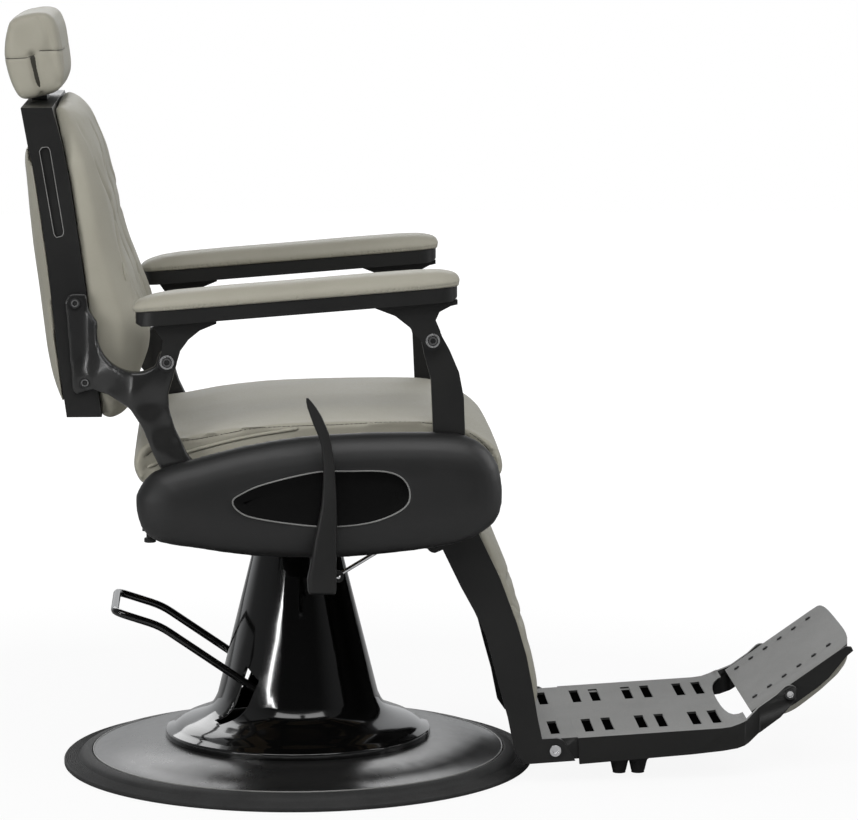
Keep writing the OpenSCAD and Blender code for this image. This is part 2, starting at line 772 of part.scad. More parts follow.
module back_frame() {
    half = frame_w / 2;
    inner = half - frame_side_w;
    groove = [[-344, seat_z + 446], [-341, seat_z + 451], [-333, seat_z + 452], [-330, seat_z + 448],
        [-313, seat_z + 338], [-315, seat_z + 333], [-323, seat_z + 331], [-326, seat_z + 335]];
    color(black_metal)
        difference() {
            union() {
                for (s = [-1, 1])
                    slab(frame_outline(frame_bottom, frame_top), s * (half + inner) / 2 - frame_side_w / 2,
                        s * (half + inner) / 2 + frame_side_w / 2);
                slab(frame_outline(frame_top - 44, frame_top), -inner - 1, inner + 1);
                slab(frame_outline(frame_bottom, frame_bottom + 30), -inner - 1, inner + 1);
            }
            // Long groove in each side
            for (s = [-1, 1])
                slab(groove, s * half - 4, s * half + 4);
            // Slot of the headrest's stem
            slab(stem_outline(-60, 20, stem_t / 2 + 0.3), -stem_w / 2 - 0.3, stem_w / 2 + 0.3);
            // Threaded holes behind the castings
            for (s = [-1, 1], c = casting_bolts)
                bar_y(c, 4, s * (half - 8) - 9, s * (half - 8) + 9);
        }
}

module back_board() {
    half = frame_w / 2 - frame_side_w - 0.5;
    z0 = frame_bottom + 30.5;
    z1 = frame_top - 44.5;
    color(plywood)
        slab(concat(span(frame_front, z0, z1, 0.5), reversed(span(frame_front, z0, z1, board_thick))), -half, half);
}

// Front face of the back cushion along its middle plane, as [z, x]
back_front = [[514, -240], [523, -228], [548, -215], [600, -200], [640, -197], [669, -205], [702, -215],
    [729, -224], [759, -233], [784, -238], [817, -244], [845, -254], [868, -261], [896, -272], [919, -284],
    [930, -293], [938, -303], [943, -317]];

module back_cushion() {
    half = frame_w / 2 - 2;
    heights = [514, 518, 527, 543, 565, 585, 600, 625, 650, 670, 686, 710, 728, 746, 775, 800, 818, 834, 860,
        886, 905, 918, 928, 936, 942];
    n = 20;
    // Diamond tufts, deepest along the crossing seams
    function tuft(y, z) = let (u = y / 62 + z / 90, v = y / 62 - z / 90)
        4 * min(abs(sin(90 * u)), abs(sin(90 * v)));
    color(leather)
        loft([for (h = heights) let (z = h + seat_z - 430, top = max((h - 850) / 92, 0),
            low = max((549 - h) / 35, 0), w = half - 42 * top * top - 14 * low * low, fall = 8 * min(top, 1),
            edge = 8 - 4 * min(max((h - 640) / 160, 0), 1),
            xr = at(frame_front, z) + 0.3 + (h < 518 ? 2 : 0), xs = xr + at(frame_front, z - fall) - at(frame_front, z),
            xf = at(back_front, h) )
            concat(
                [[xs, -w + 6, z - fall], [xs + 3, -w + 1, z - fall]],
                [for (i = [0:n]) let (t = -1 + 2 * i / n, y = w * t, round = 1 - pow(abs(t), edge),
                    wing = 16 * exp(-pow((h - 632) / 55, 2)) * pow(abs(t), 3),
                    dish = 14 * (1 - t * t) * (h > 560 && h < 860 ? 1 : 0.3),
                    quilt = abs(t) < 0.78 && h > 530 && h < 915 ? tuft(y, z) - 4 : 0)
                    [xr + 6 + (xf - xr - 6) * (0.35 + 0.65 * round) + (wing - dish * 0.6 + quilt) * round
                        + wing * 0.5 * (1 - round), y, z - fall * t * t]],
                [[xs + 3, w - 1, z - fall], [xs, w - 6, z - fall]])]);
}

module back_cover() {
    half = frame_w / 2 - 6;
    heights = [528, 534, 545, 570, 604, 686, 746, 790, 834, 865, 878, 884];
    bulge = [0, 5, 9, 13, 15, 17, 19, 17, 14, 11, 7, 2];
    n = 12;
    color(leather)
        loft([for (k = [0:len(heights) - 1]) let (z = heights[k] + seat_z - 430, xr = at(frame_rear, z) - 0.3,
            w = half - (k < 2 || k > 9 ? 8 - 3 * min(k, 11 - k) : 0))
            concat([[xr, w, z]],
                [for (i = [0:n]) let (t = 1 - 2 * i / n) [xr - 1 - bulge[k] * (1 - pow(abs(t), 6)), w * t, z]],
                [[xr, -w, z]])]);
}

// Bolts that hold each casting to the frame
casting_bolts = [[-299, seat_z + 244], [-287, seat_z + 137]];

// Side outline of the casting that carries the back, relative to the back pivot
casting_points = concat(
    [[-163, 232], [-160, 240], [-154, 243], [-134, 243], [-131, 222]],
    arc([-70, 191], 50, 165, 305, 12),
    arc(arm_offset, 14, 150, -20, 10),
    [[-19, 132], [-25, 112], [-24, 90], [-17, 66], [0, 30]],
    arc([0, 0], 20, 40, -90, 8),
    [crank + [12, 0], each arc(crank, 13, -20, -190, 8), [-26, -24], [-34, 6], [-46, 30], [-60, 66],
        [-76, 91], [-106, 109], [-128, 113], [-148, 106], [-154, 112]]);

module back_casting() {
    in = frame_w / 2 + 0.1;
    difference() {
        intersection() {
            slab(moved(casting_points, back_pivot), -strut_out - 30, -in + 30);
            // Plan outline: from the frame's side out to the plane of the struts
            translate([back_pivot[0], 0, back_pivot[1] - 120])
                linear_extrude(400)
                    polygon([[-170, -in], [-143, -in], [-118, -in - 6], [-84, -in - 20], [-60, -strut_in],
                        [40, -strut_in], [40, -strut_out], [-58, -strut_out], [-74, -strut_out + 2],
                        [-98, -in - 34], [-118, -in - 22], [-132, -in - 11], [-136, -in - 9], [-170, -in - 9]]);
        }
        bar_y(back_pivot, pivot_r + fit, -strut_out - 1, -strut_in + 1);
        bar_y(rear_arm_pivot, arm_bolt_r + fit, -strut_out - 1, -strut_in + 1);
        bar_y(back_crank, crossbar_r, -strut_out - 1, -strut_in + 1);
        for (c = casting_bolts) {
            bar_y(c, 4, -strut_out, -in + 10);
            bar_y(c, 7.6, -strut_out - 1, -in - 9);
        }
    }
}

module right_back_casting() {
    color(black_metal)
        back_casting();
}

module left_back_casting() {
    color(black_metal)
        side("left")
            back_casting();
}

module back_bolts() {
    in = frame_w / 2;
    color(steel)
        for (s = [-1, 1], c = casting_bolts)
            socket_bolt(c, 3.9, 7, 3, s * (in + 9.1), s * (in - 14));
}

crossbar_r = 9;
module back_crossbar() {
    color(steel)
        bar_y(back_crank, crossbar_r, -strut_out, strut_out);
}

// ---- Headrest ----
socket_h = 5;
// Point of the headrest's stem at a height along it and a distance before it
function stem(s, v) = stem_foot + s * [-sin(stem_lean), cos(stem_lean)] + v * [cos(stem_lean), sin(stem_lean)];
// Outline of a piece of the stem between two heights
function stem_outline(s0, s1, half) = [stem(s0, -half), stem(s0, half), stem(s1, half), stem(s1, -half)];

module headrest_socket() {
    color(black_metal)
        difference() {
            slab([stem_foot + [-11, 0.2], stem_foot + [11, 0.2], stem(socket_h, 11), stem(socket_h, -11)],
                -stem_w / 2 - 12, stem_w / 2 + 12);
            slab(stem_outline(-1, socket_h + 1, stem_t / 2 + fit), -stem_w / 2 - fit, stem_w / 2 + fit);
        }
}

head_pivot = stem(66, 0);
// Side outline of the headrest round its pivot
headrest_points = moved([[-29, 16], [-24, 42], [-16, 51], [4, 57], [26, 58], [39, 47], [45, 15], [49, -17],
    [49, -33], [42, -47], [18, -55], [-3, -59], [-13, -53], [-22, -33], [-29, -4]], head_pivot);

module headrest_stem() {
    color(steel) {
        slab(stem_outline(-105, 50, stem_t / 2), -stem_w / 2, stem_w / 2);
        slab(stem_outline(49, 62, stem_t / 2), -9, 9);
        bar_y(head_pivot, 6, -headrest_w / 2 + 20, headrest_w / 2 - 20);
    }
}

module headrest_cushion() {
    outline = ccw(smooth(headrest_points, 2));
    half = headrest_w / 2;
    rows = [[1, 9], [0.99, 4.5], [0.965, 1.5], [0.92, 0], [0.5, -1]];
    color(leather)
        difference() {
            loft(concat(
                [for (row = rows) ring_y(inset(outline, row[1]), -half * row[0])],
                [for (i = [len(rows) - 1:-1:0]) ring_y(inset(outline, rows[i][1]), half * rows[i][0])]));
            // Bore on the pivot bar and the mouth that the stem comes out of
            bar_y(head_pivot, 6 + fit, -half + 19, half - 19);
            slab([head_pivot + [-25, -80], head_pivot + [38, -80], head_pivot + [10, 0], head_pivot + [-9, 0]],
                -stem_w / 2 - 2, stem_w / 2 + 2);
        }
}

// ---- Arms ----
arm_bolt_r = 6;
rail_slope = link_rise / link_run;
rail_top_z = rear_arm_pivot[1] + 70;

// Height of the rail's top at x
function rail_top(x) = rail_top_z + (x - rear_arm_pivot[0]) * rail_slope;

module front_strut() {
    points = moved(concat(
        arc([0, 0], 20, 220, 330, 8),
        [[17.5, 34], [16, 78], [9.6, 112], [-2.6, 141]],
        arc(arm_offset, 14, 10, 190, 10),
        [[-37, 136], [-28, 103], [-25, 35], [-24, 10]]), strut_pivot);
    difference() {
        slab(points, -strut_out, -strut_in);
        bar_y(strut_pivot, pivot_r + fit, -strut_out - 1, -strut_in + 1);
        bar_y(front_arm_pivot, arm_bolt_r + fit, -strut_out - 1, -strut_in + 1);
    }
}

module right_front_strut() {
    color(black_metal)
        front_strut();
}

module left_front_strut() {
    color(black_metal)
        side("left")
            front_strut();
}

rail_rear = rear_arm_pivot[0] - 41;
rail_front = front_arm_pivot[0] + 33;

// Bracket hanging from the rail round one pivot, in the side view
rear_bracket = moved(concat(arc([0, 0], 13, 200, 340, 8),
    [[18, 15], [29, 30], [44, 42], [66, 51], [66, 59], [-20, 59], [-17, 46], [-5, 29], [-7, 14]]),
    rear_arm_pivot);
front_bracket = moved(concat(arc([0, 0], 13, 200, 340, 8),
    [[10, 13], [4, 27], [9, 38], [24, 46], [33, 48], [33, 54], [-76, 54], [-76, 43], [-50, 33], [-31, 18],
        [-18, 2]]),
    front_arm_pivot);

module arm_rail() {
    h = rail_h;
    end_r = rail_w / 2 - 6;
    difference() {
        union() {
            intersection() {
                slab([[rail_rear, rail_top(rail_rear) - h + 4], [rail_rear + 8, rail_top(rail_rear + 8) - h],
                    [rail_front - 8, rail_top(rail_front - 8) - h], [rail_front, rail_top(rail_front) - h + 4],
                    [rail_front, rail_top(rail_front)], [rail_rear, rail_top(rail_rear)]],
                    -arm_y - rail_w / 2, -arm_y + rail_w / 2);
                translate([0, -arm_y, rear_arm_pivot[1]])
                    linear_extrude(160)
                        polygon(concat(
                            arc([rail_front - end_r, rail_w / 2 - end_r], end_r, 90, 0, 6),
                            arc([rail_front - end_r, end_r - rail_w / 2], end_r, 0, -90, 6),
                            arc([rail_rear + end_r, end_r - rail_w / 2], end_r, -90, -180, 6),
                            arc([rail_rear + end_r, rail_w / 2 - end_r], end_r, 180, 90, 6)));
            }
            slab(rear_bracket, -bracket_out, -bracket_in);
            slab(front_bracket, -bracket_out, -bracket_in);
        }
        for (c = [rear_arm_pivot, front_arm_pivot])
            bar_y(c, arm_bolt_r, -bracket_out - 1, -bracket_in + 1);
    }
}

module right_arm_rail() {
    color(black_metal)
        arm_rail();
}

module left_arm_rail() {
    color(black_metal)
        side("left")
            arm_rail();
}

// Pad lofted along the arm from upright sections that swell and taper
module arm_pad() {
    x0 = rail_rear - 5;
    x1 = rail_front + 4;
    half = pad_w / 2;
    rows = [[0, 0.5, 0.3], [0.008, 0.66, 0.52], [0.03, 0.83, 0.72], [0.07, 0.94, 0.87], [0.13, 1, 0.96], [0.3, 1, 1],
        [0.5, 1, 1], [0.7, 1, 1.02], [0.87, 1, 1], [0.94, 0.95, 0.94], [0.975, 0.83, 0.82], [0.993, 0.66, 0.64],
        [1, 0.5, 0.45]];
    n = 16;
    loft([for (row = rows) let (x = x0 + (x1 - x0) * row[0], w = half * row[1], t = pad_t * row[2],
        z = rail_top(x) + 0.3)
        concat([[x, -arm_y - w + 5, z], [x, -arm_y - w + 1, z + 2]],
            [for (i = [0:n]) let (u = -1 + 2 * i / n, e = pow(abs(u), 5))
                [x, -arm_y + w * sign(u) * pow(abs(u), 0.8), z + 4 + (t - 4) * (1 - e) - 1.5 * u * u * (1 - e)]],
            [[x, -arm_y + w - 1, z + 2], [x, -arm_y + w - 5, z]])]);
}

module right_arm_pad() {
    color(leather)
        arm_pad();
}

module left_arm_pad() {
    color(leather)
        side("left")
            arm_pad();
}

// Two shoulder bolts, each with a raised washer under its head
module arm_bolts() {
    for (c = [rear_arm_pivot, front_arm_pivot]) {
        socket_bolt(c, arm_bolt_r, 7, 3.5, -bracket_out - 2, -strut_in);
        difference() {
            bar_y(c, 9.5, -bracket_out - 2, -bracket_out);
            bar_y(c, arm_bolt_r, -bracket_out - 3, -bracket_out + 1);
        }
    }
}

module right_arm_bolts() {
    color(steel)
        arm_bolts();
}

module left_arm_bolts() {
    color(steel)
        side("left")
            arm_bolts();
}

// ---- Leg rest ----
// Side plate of the leg rest, relative to the leg pivot
leg_points = concat(
    arc([0, 0], 15, 190, 20, 8),
    [[28, -20], [40, -44], [69, -105], [92, -167], [105, -212], [113, -253], [121, -300], [127, -329]],
    arc([145, -345], 17, 100, 20, 5),
    [[173, -360], [108, -364], [100, -361], [89, -345], [80, -300], [69, -260], [50, -186], [33, -149], [15, -116],
        [-10, -64], crank + [0, -12], each arc(crank, 12, -110, -200, 5), [-20, -20]]);

// Front face of the web behind the calf pad, from top to bottom, relative to the leg pivot
web_line = [[33, -50], [58, -106], [82, -168], [95, -215], [103, -256], [108, -296]];
web_t = 4;

module leg_frame() {
    color(black_metal)
        difference() {
            union() {
                for (s = [-1, 1])
                    slab(moved(leg_points, leg_pivot), s * (leg_half - leg_plate_t / 2) - leg_plate_t / 2,
                        s * (leg_half - leg_plate_t / 2) + leg_plate_t / 2);
                // Web behind the calf pad
                slab(moved(concat(web_line, reversed(moved(web_line, [-web_t, 0]))), leg_pivot),
                    -leg_half + 1, leg_half - 1);
                // Crank bar that the links push
                bar_y(leg_crank, crossbar_r, -leg_half + 1, leg_half - 1);
            }
            for (s = [-1, 1]) {
                bar_y(leg_pivot, pivot_r + fit, s * leg_half - 20, s * leg_half + 20);
                bar_y(foot_pivot, foot_bolt_r + fit, s * leg_half - 20, s * leg_half + 20);
            }
        }
}

module calf_pad() {
    half = leg_half - leg_plate_t - 1;
    // Front face in the side view from top to bottom, relative to the leg pivot, as [z, x]
    face = [[-36, 44], [-42, 53], [-75, 74], [-122, 90], [-168, 103], [-207, 113], [-250, 123], [-285, 126],
        [-292, 115]];
    web = [[-36, 33], for (q = web_line) [q[1], q[0]]];
    heights = [-40, -46, -60, -78, -84, -90, -110, -135, -141, -147, -168, -195, -201, -207, -215, -230, -256,
        -275, -288];
    n = 14;
    function fall(table, z) = at(reversed(table), z);
    color(leather)
        loft([for (h = heights) let (z = h + leg_pivot[1], xr = fall(web, h) + 0.3,
            seam = (h == -84 || h == -141 || h == -201) ? 4 : 0, xf = fall(face, h) - seam)
            concat([[leg_pivot[0] + xr, half, z]],
                [for (i = [0:n]) let (t = 1 - 2 * i / n, e = pow(abs(t), 8))
                    [leg_pivot[0] + xr + 4 + (xf - xr - 4) * (1 - 0.5 * e), half * t * (1 - 0.004 * e), z]],
                [[leg_pivot[0] + xr, -half, z]])]);
}

module leg_links() {
    link_r = 13;
    v = leg_crank - back_crank;
    a = atan2(v[1], v[0]);
    color(black_metal)
        for (s = [-1, 1])
            difference() {
                slab(concat(arc(back_crank, link_r, a + 90, a + 270, 10), arc(leg_crank, link_r, a - 90, a + 90, 10)),
                    s * link_y - 4, s * link_y + 4);
                bar_y(back_crank, crossbar_r + fit, s * link_y - 5, s * link_y + 5);
                bar_y(leg_crank, crossbar_r + fit, s * link_y - 5, s * link_y + 5);
            }
}

// ---- Footplate ----
foot_half = leg_half - foot_in;
wing_t = 6;
// Faces of the wings' ears at the toe plate's pivot
ear_out = foot_half - wing_step;
ear_in = ear_out - wing_t;
tail_half = leg_half - leg_plate_t - side_gap;
tread_dir = [cos(tread_tilt), sin(tread_tilt)];
tread_up = [-sin(tread_tilt), cos(tread_tilt)];
// Point of the tread at a distance along it and a height over it
function tread(u, v) = foot_pivot + [-18, 13.5] + u * tread_dir + v * tread_up;
tread_l = 262;
// Curve of the tread's front end, from where it leaves the flat
tread_end = [tread(248, 0), tread(262, 1), tread(274, 4.5), tread(285, 9)];
// Rear of the bay in the tread's front end, and the bay's half-width
bay_x = tread(260, 0)[0];
bay_half = 124;
// Where the wider part of the footplate starts
step_u = 50;
// Blocks that carry the bumpers under the tread
bumper_u = 121;
bumper_v = -33.6;
bumper_l = 64;
bumper_y = 140;
bumper_w = 24;
// Outline under the tread between two heights, as long as a bumper less the ends' walls
function under_tread(v0, v1, wall = 0) = let (half = bumper_l / 2 - wall)
    [tread(bumper_u - half, v0), tread(bumper_u + half, v0), tread(bumper_u + half, v1), tread(bumper_u - half, v1)];

module footplate() {
    wall = sheet_t;
    tail_side = [tread(0, 0), tread(step_u + 30, 0), tread(step_u + 30, -30), tread(14, -30),
        each arc(foot_pivot, 14, 230, 150, 5)];
    // Side outline of a wing, and its run in plan view, stepping in before the ear
    wing = concat([tread(step_u, 0)], tread_end, [tread(300, 17.8), tread(329, 36)],
        arc(toe_pivot, 12, 125, -45, 8),
        [tread(334, 4.8), tread(306, -13.6), tread(286, -24.5), tread(269, -29.8), tread(249, -32),
            tread(206, -34), tread(step_u, -37)]);
    bend = tread(281, 0)[0];
    plan = [[0, foot_half], [bend, foot_half], [bend + 22, ear_out], [toe_pivot[0] + 20, ear_out],
        [toe_pivot[0] + 20, ear_in], [bend + 20, ear_in], [bend - 2, foot_half - wing_t], [0, foot_half - wing_t]];
    color(black_metal)
        difference() {
            union() {
                // Tread with its two rows of slots
                difference() {
                    union() {
                        slab([tread(0, 0), tread(step_u + 2, 0), tread(step_u + 2, -wall), tread(0, -wall)],
                            -tail_half, tail_half);
                        slab(concat([tread(step_u, 0)], tread_end, reversed(moved(tread_end, [0, -wall])),
                            [tread(step_u, -wall)]), -foot_half + 1, foot_half - 1);
                    }
                    for (s = [-1, 1], u = slot_places)
                        slab([tread(u - slot_l / 2, 1), tread(u + slot_l / 2, 1), tread(u + slot_l / 2, -wall - 1),
                            tread(u - slot_l / 2, -wall - 1)], s * slot_y - slot_w / 2, s * slot_y + slot_w / 2);
                    // Bay in front that the toe plate turns in
                    linear_extrude(400)
                        polygon([for (a = [-90:15:90]) [bay_x + 40 - 36 * pow(cos(a), 0.4),
                            bay_half * sign(a) * pow(abs(sin(a)), 0.8)]]);
                }
                for (s = [-1, 1]) {
                    slab(tail_side, s * (tail_half - 3) - 3, s * (tail_half - 3) + 3);
                    intersection() {
                        slab(wing, -foot_half, foot_half);
                        linear_extrude(400)
                            polygon(ccw([for (q = plan) [q[0], s * q[1]]]));
                    }
                }
                // Open-topped boxes that carry the bumpers
                for (s = [-1, 1])
                    difference() {
                        slab(under_tread(1 - wall, bumper_v), s * bumper_y - bumper_w / 2, s * bumper_y + bumper_w / 2);
                        slab(under_tread(-wall, bumper_v + wall, wall), s * bumper_y - bumper_w / 2 + wall,
                            s * bumper_y + bumper_w / 2 - wall);
                    }
                // Rear and front returns of the sheet, and the ribs under the tread
                for (u = [1, 110, 190, tread_l - wall - 1])
                    slab([tread(u, -1), tread(u + wall, -1), tread(u + wall, -16), tread(u, -16)],
                        -tail_half + 1, tail_half - 1);
            }
            bar_y(foot_pivot, foot_bolt_r, -foot_half - 1, foot_half + 1);
            bar_y(toe_pivot, toe_bolt_r + fit, -foot_half - 1, foot_half + 1);
        }
}

slot_l = 13;
slot_w = 82;
slot_y = 98;
slot_places = [22, 70, 98, 145, 173, 220, 248];
toe_bolt_r = 5;

module foot_hinge_bolts() {
    color(steel)
        for (s = [-1, 1])
            socket_bolt(foot_pivot, foot_bolt_r, 8, 4, s * (leg_half + 0.3), s * (tail_half - 10));
}

module foot_bumpers() {
    top = bumper_v - 0.2;
    color(rubber)
        for (s = [-1, 1]) {
            slab([tread(bumper_u - bumper_l / 2, top), tread(bumper_u + bumper_l / 2, top),
                tread(bumper_u + bumper_l / 2 - 6, top - 8), tread(bumper_u - bumper_l / 2 + 6, top - 8)],
                s * bumper_y - bumper_w / 2, s * bumper_y + bumper_w / 2);
            for (u = [-13, 13])
                let (foot = tread(bumper_u + u, top - 7))
                    translate([foot[0], s * bumper_y, foot_pivot[1] - 40])
                        cylinder(r = 9, h = foot[1] - foot_pivot[1] + 40);
        }
}

// ---- Toe plate ----
toe_dir = [cos(toe_tilt), sin(toe_tilt)];
toe_up = [-sin(toe_tilt), cos(toe_tilt)];
// Point of the toe plate at a distance from its pivot and a height over it
function toe(u, v) = toe_pivot + u * toe_dir + v * toe_up;
toe_rear = -58;
toe_front = 106;
// Height of the plate's face over its pivot
toe_face = 9;
toe_half = ear_in - 1;
toe_crown = 3;
stud_y = 99;
// Section of the toe plate's face across the chair
toe_section = [for (q = [[-1, 0], [-0.9, 0.7], [-0.74, 1], [0.74, 1], [0.9, 0.7], [1, 0]])
    [toe_half * q[0], toe_face + toe_crown * q[1]]];

module toe_plate() {
    t = sheet_t;
    tip_x = toe(toe_front + 6, toe_face)[0];
    // Outline of a side flange, as [distance from the pivot, height over it]
    flange = [[toe_rear, toe_face - 1], [101, toe_face - 1], [107, 3], [106, -3], [94, -4], [77, -9], [56, -15],
        [36, -17], [-2, -17.5], [-30, -14], [toe_rear, -3]];
    color(tread_grey)
        difference() {
            union() {
                intersection() {
                    // Crowned sheet
                    translate([toe_pivot[0], 0, toe_pivot[1]])
                        rotate([0, -toe_tilt, 0])
                            translate([toe_rear, 0, 0])
                                rotate([90, 0, 90])
                                    linear_extrude(toe_front + 10 - toe_rear)
                                        polygon(concat(toe_section, reversed(moved(toe_section, [0, -t]))));
                    linear_extrude(400)
                        polygon(concat([[toe(toe_rear, 0)[0] - 20, -toe_half], [tip_x - 16, -toe_half]],
                            [for (i = [-6:6]) [tip_x - 6 * pow(i / 6, 4), (toe_half - 4 * pow(i / 6, 12)) * i / 6]],
                            [[tip_x - 16, toe_half], [toe(toe_rear, 0)[0] - 20, toe_half]]));
                }
                // Side flanges with the pivot eyes
                for (s = [-1, 1])
                    slab([for (q = flange) toe(q[0], q[1])], s * (toe_half - 2) - 2, s * (toe_half - 2) + 2);
                // Grip studs in two rows
                for (s = [-1, 1], k = [0:5])
                    translate(let (q = toe(toe_rear + 16 + 25 * k, toe_face + toe_crown - 0.2)) [q[0], s * stud_y, q[1]])
                        rotate([0, -toe_tilt, 0])
                            cylinder(r1 = 5, r2 = 3, h = 2.5);
            }
            bar_y(toe_pivot, toe_bolt_r, -toe_half - 1, toe_half + 1);
        }
}

module toe_pad() {
    half = toe_half - 5;
    // Depth of the padding under the plate, as [distance from the pivot, depth]
    depth = [[toe_rear + 2, 18], [-45, 28], [-29, 34], [-8, 39], [18, 38], [44, 36], [71, 32], [89, 25], [99, 14],
        [103, 6]];
    stations = [toe_rear + 2, toe_rear + 6, -45, -29, -8, 18, 44, 71, 89, 97, 102];
    top = toe_face - sheet_t - 0.4;
    n = 12;
    color(leather)
        loft([for (u = stations) let (d = at(depth, u))
            concat([for (q = [toe(u, top)]) [q[0], half, q[1]]],
                [for (i = [0:n]) let (t = 1 - 2 * i / n, e = pow(abs(t), 12), q = toe(u, top - d * (1 - 0.4 * e)))
                    [q[0], half * t, q[1]]],
                [for (y = [-half, -0.74 * toe_half, 0.74 * toe_half], q = [toe(u, top + (y == -half ? 0 : toe_crown))])
                    [q[0], y, q[1]]])]);
}

module toe_bolts() {
    color(steel)
        for (s = [-1, 1])
            socket_bolt(toe_pivot, toe_bolt_r, 7.5, 4, s * (ear_out + 0.3), s * (toe_half - 4.2));
}

// ---- Recline release ----
lever_in = shell_out + 5;
release_crank = [24, -7];

module lever_bracket() {
    y0 = plate_in;
    color(black_metal)
        difference() {
            slab(concat([[lever_pivot[0] - 16, board_z], [lever_pivot[0] - 14, lever_pivot[1]]],
                arc(lever_pivot, 14, 180, 360, 10), [[lever_pivot[0] + 16, board_z]]), -y0, -y0 + 8);
            bar_y(lever_pivot, lever_shaft_r + fit, -y0 - 1, -y0 + 9);
        }
}

module lever_shaft() {
    color(steel)
        difference() {
            union() {
                bar_y(lever_pivot, lever_shaft_r, -lever_in - 16, -plate_in + 24);
                slab(concat(arc(lever_pivot, 11, 60, 270, 8), arc(lever_pivot + release_crank, 8, -80, 60, 6)),
                    -plate_in + 14, -plate_in + 20);
            }
            bar_y(lever_pivot + release_crank, 3, -plate_in + 13, -plate_in + 21);
        }
}

// Lever blade: rows are [height over the shaft, left edge, right edge, thickness, outward lean]
module recline_lever() {
    k = lever_up / 251;
    rows = [[-14, -17, 18, 14, 0], [-10, -19, 19, 16, 0], [6, -20, 19, 17, 0], [30, -15, 19.5, 17, 0],
        [60, -10, 20, 16, 0], [88, -4, 20.5, 15, 0], [108, -0.5, 20, 14, 0.5], [129, 1.2, 19, 13, 1],
        [158, 2.2, 17, 12, 3], [184, -0.5, 13.5, 11, 6], [200, -5, 10.5, 10.5, 9], [213, -10.5, 5.5, 10, 12],
        [226, -15, 0, 9, 15], [238, -19, -7, 8, 18], [246, -20.5, -13, 6, 20], [251, -20.5, -17.5, 3, 21]];
    n = 16;
    color(black_metal)
        difference() {
            loft([for (row = rows) let (c = (row[1] + row[2]) / 2, w = (row[2] - row[1]) / 2, t = row[3] / 2)
                [for (i = [0:n - 1]) let (a = 360 * i / n, p = 0.55)
                    [lever_pivot[0] + c + w * sign(cos(a)) * pow(abs(cos(a)), p),
                        -lever_in - 8.5 - row[4] + t * sign(sin(a)) * pow(abs(sin(a)), p),
                        lever_pivot[1] + row[0] * k]]]);
            bar_y(lever_pivot, lever_shaft_r, -lever_in - 16.2, -lever_in + 1);
        }
}

// The release arm copies the lever's crank, so the rod between them stays level with itself
release_pivot = [gas_anchor_x - 37, gas_z - 22];
release_end = release_pivot + release_crank;
rod_y = -plate_in + 27;

module release_rod() {
    r = 2.9;
    p0 = lever_pivot + release_crank;
    color(steel)
        bent_bar([[p0[0], -plate_in + 14, p0[1]], [p0[0], rod_y, p0[1]], [release_end[0], rod_y, release_end[1]],
            [release_end[0], gas_y - 11, release_end[1]]], r);
}

module release_arm() {
    y0 = gas_y - 17.5;
    y1 = gas_y - 12.5;
    tip = release_pivot + [16, 19];
    color(steel)
        difference() {
            union() {
                slab(concat(arc(release_pivot, 8, 130, 270, 6), arc(release_end, 7, 250, 400, 6)), y0, y1);
                slab(concat(arc(release_pivot, 7, 150, 330, 6), arc(tip, 5, 0, 120, 4)), y0, y1);
                bar_y(tip, 3, y1 - 1, gas_y - gas_rod_r - 0.5);
                bar_y(release_pivot, 3, y0, gas_y - 8);
            }
            bar_y(release_end, 3, y0 - 1, y1 + 1);
        }
}

gas_r = 11;
gas_rod_r = 5;
gas_body_x = back_crank[0] + 20;
gas_body_l = 130;

module gas_spring_cylinder() {
    slot_drop = crank_rise + 1;
    slot_half = crossbar_r + 0.5;
    color(black_metal)
        difference() {
            union() {
                translate([gas_body_x, gas_y, gas_z])
                    rotate([0, 90, 0])
                        cylinder(r = gas_r, h = gas_body_l);
                slab(concat(arc(back_crank + [0, -1], 15, 90, 270, 8), [[gas_body_x + 1, gas_z - 10],
                    [gas_body_x + 1, gas_z + 10]]), gas_y - 6, gas_y + 6);
            }
            translate([gas_body_x + 20, gas_y, gas_z])
                rotate([0, 90, 0])
                    cylinder(r = gas_rod_r + fit, h = gas_body_l);
            // Upright slot that takes up the crank's arc
            for (dz = [-slot_drop, slot_drop])
                bar_y([back_crank[0], gas_z + dz], slot_half, gas_y - 7, gas_y + 7);
            translate([back_crank[0] - slot_half, gas_y - 7, gas_z - slot_drop])
                cube([2 * slot_half, 14, 2 * slot_drop]);
        }
}

module gas_spring_rod() {
    color(steel)
        translate([gas_body_x + 90, gas_y, gas_z])
            rotate([0, 90, 0])
                cylinder(r = gas_rod_r, h = gas_anchor_x + 10 - gas_body_x - 90);
}

base_plate();
base_rim();
column_cover();
pump_cylinder();
pump_bolts();
pedal_shaft();
pump_pedal();
pump_plunger();
plunger_spring();
lift_ram();
swivel_plate();
mount_rails();
front_cross_tube();
rear_cross_tube();
left_side_plate();
right_side_plate();
left_side_shell();
right_side_shell();
left_shell_inset();
right_shell_inset();
seat_board();
seat_cushion();
rear_stop_bracket();
pivot_pins();
lever_bracket();
gas_anchor();
back_frame();
back_board();
back_cushion();
back_cover();
left_back_casting();
right_back_casting();
back_bolts();
back_crossbar();
headrest_socket();
headrest_stem();
headrest_cushion();
left_front_strut();
right_front_strut();
left_arm_rail();
right_arm_rail();
left_arm_pad();
right_arm_pad();
left_arm_bolts();
right_arm_bolts();
leg_frame();
calf_pad();
leg_links();
footplate();
foot_hinge_bolts();
foot_bumpers();
toe_plate();
toe_pad();
toe_bolts();
recline_lever();
lever_shaft();
release_rod();
release_arm();
gas_spring_cylinder();
gas_spring_rod();
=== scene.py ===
"""Hydraulic barber chair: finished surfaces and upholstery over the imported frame."""
import json
import math

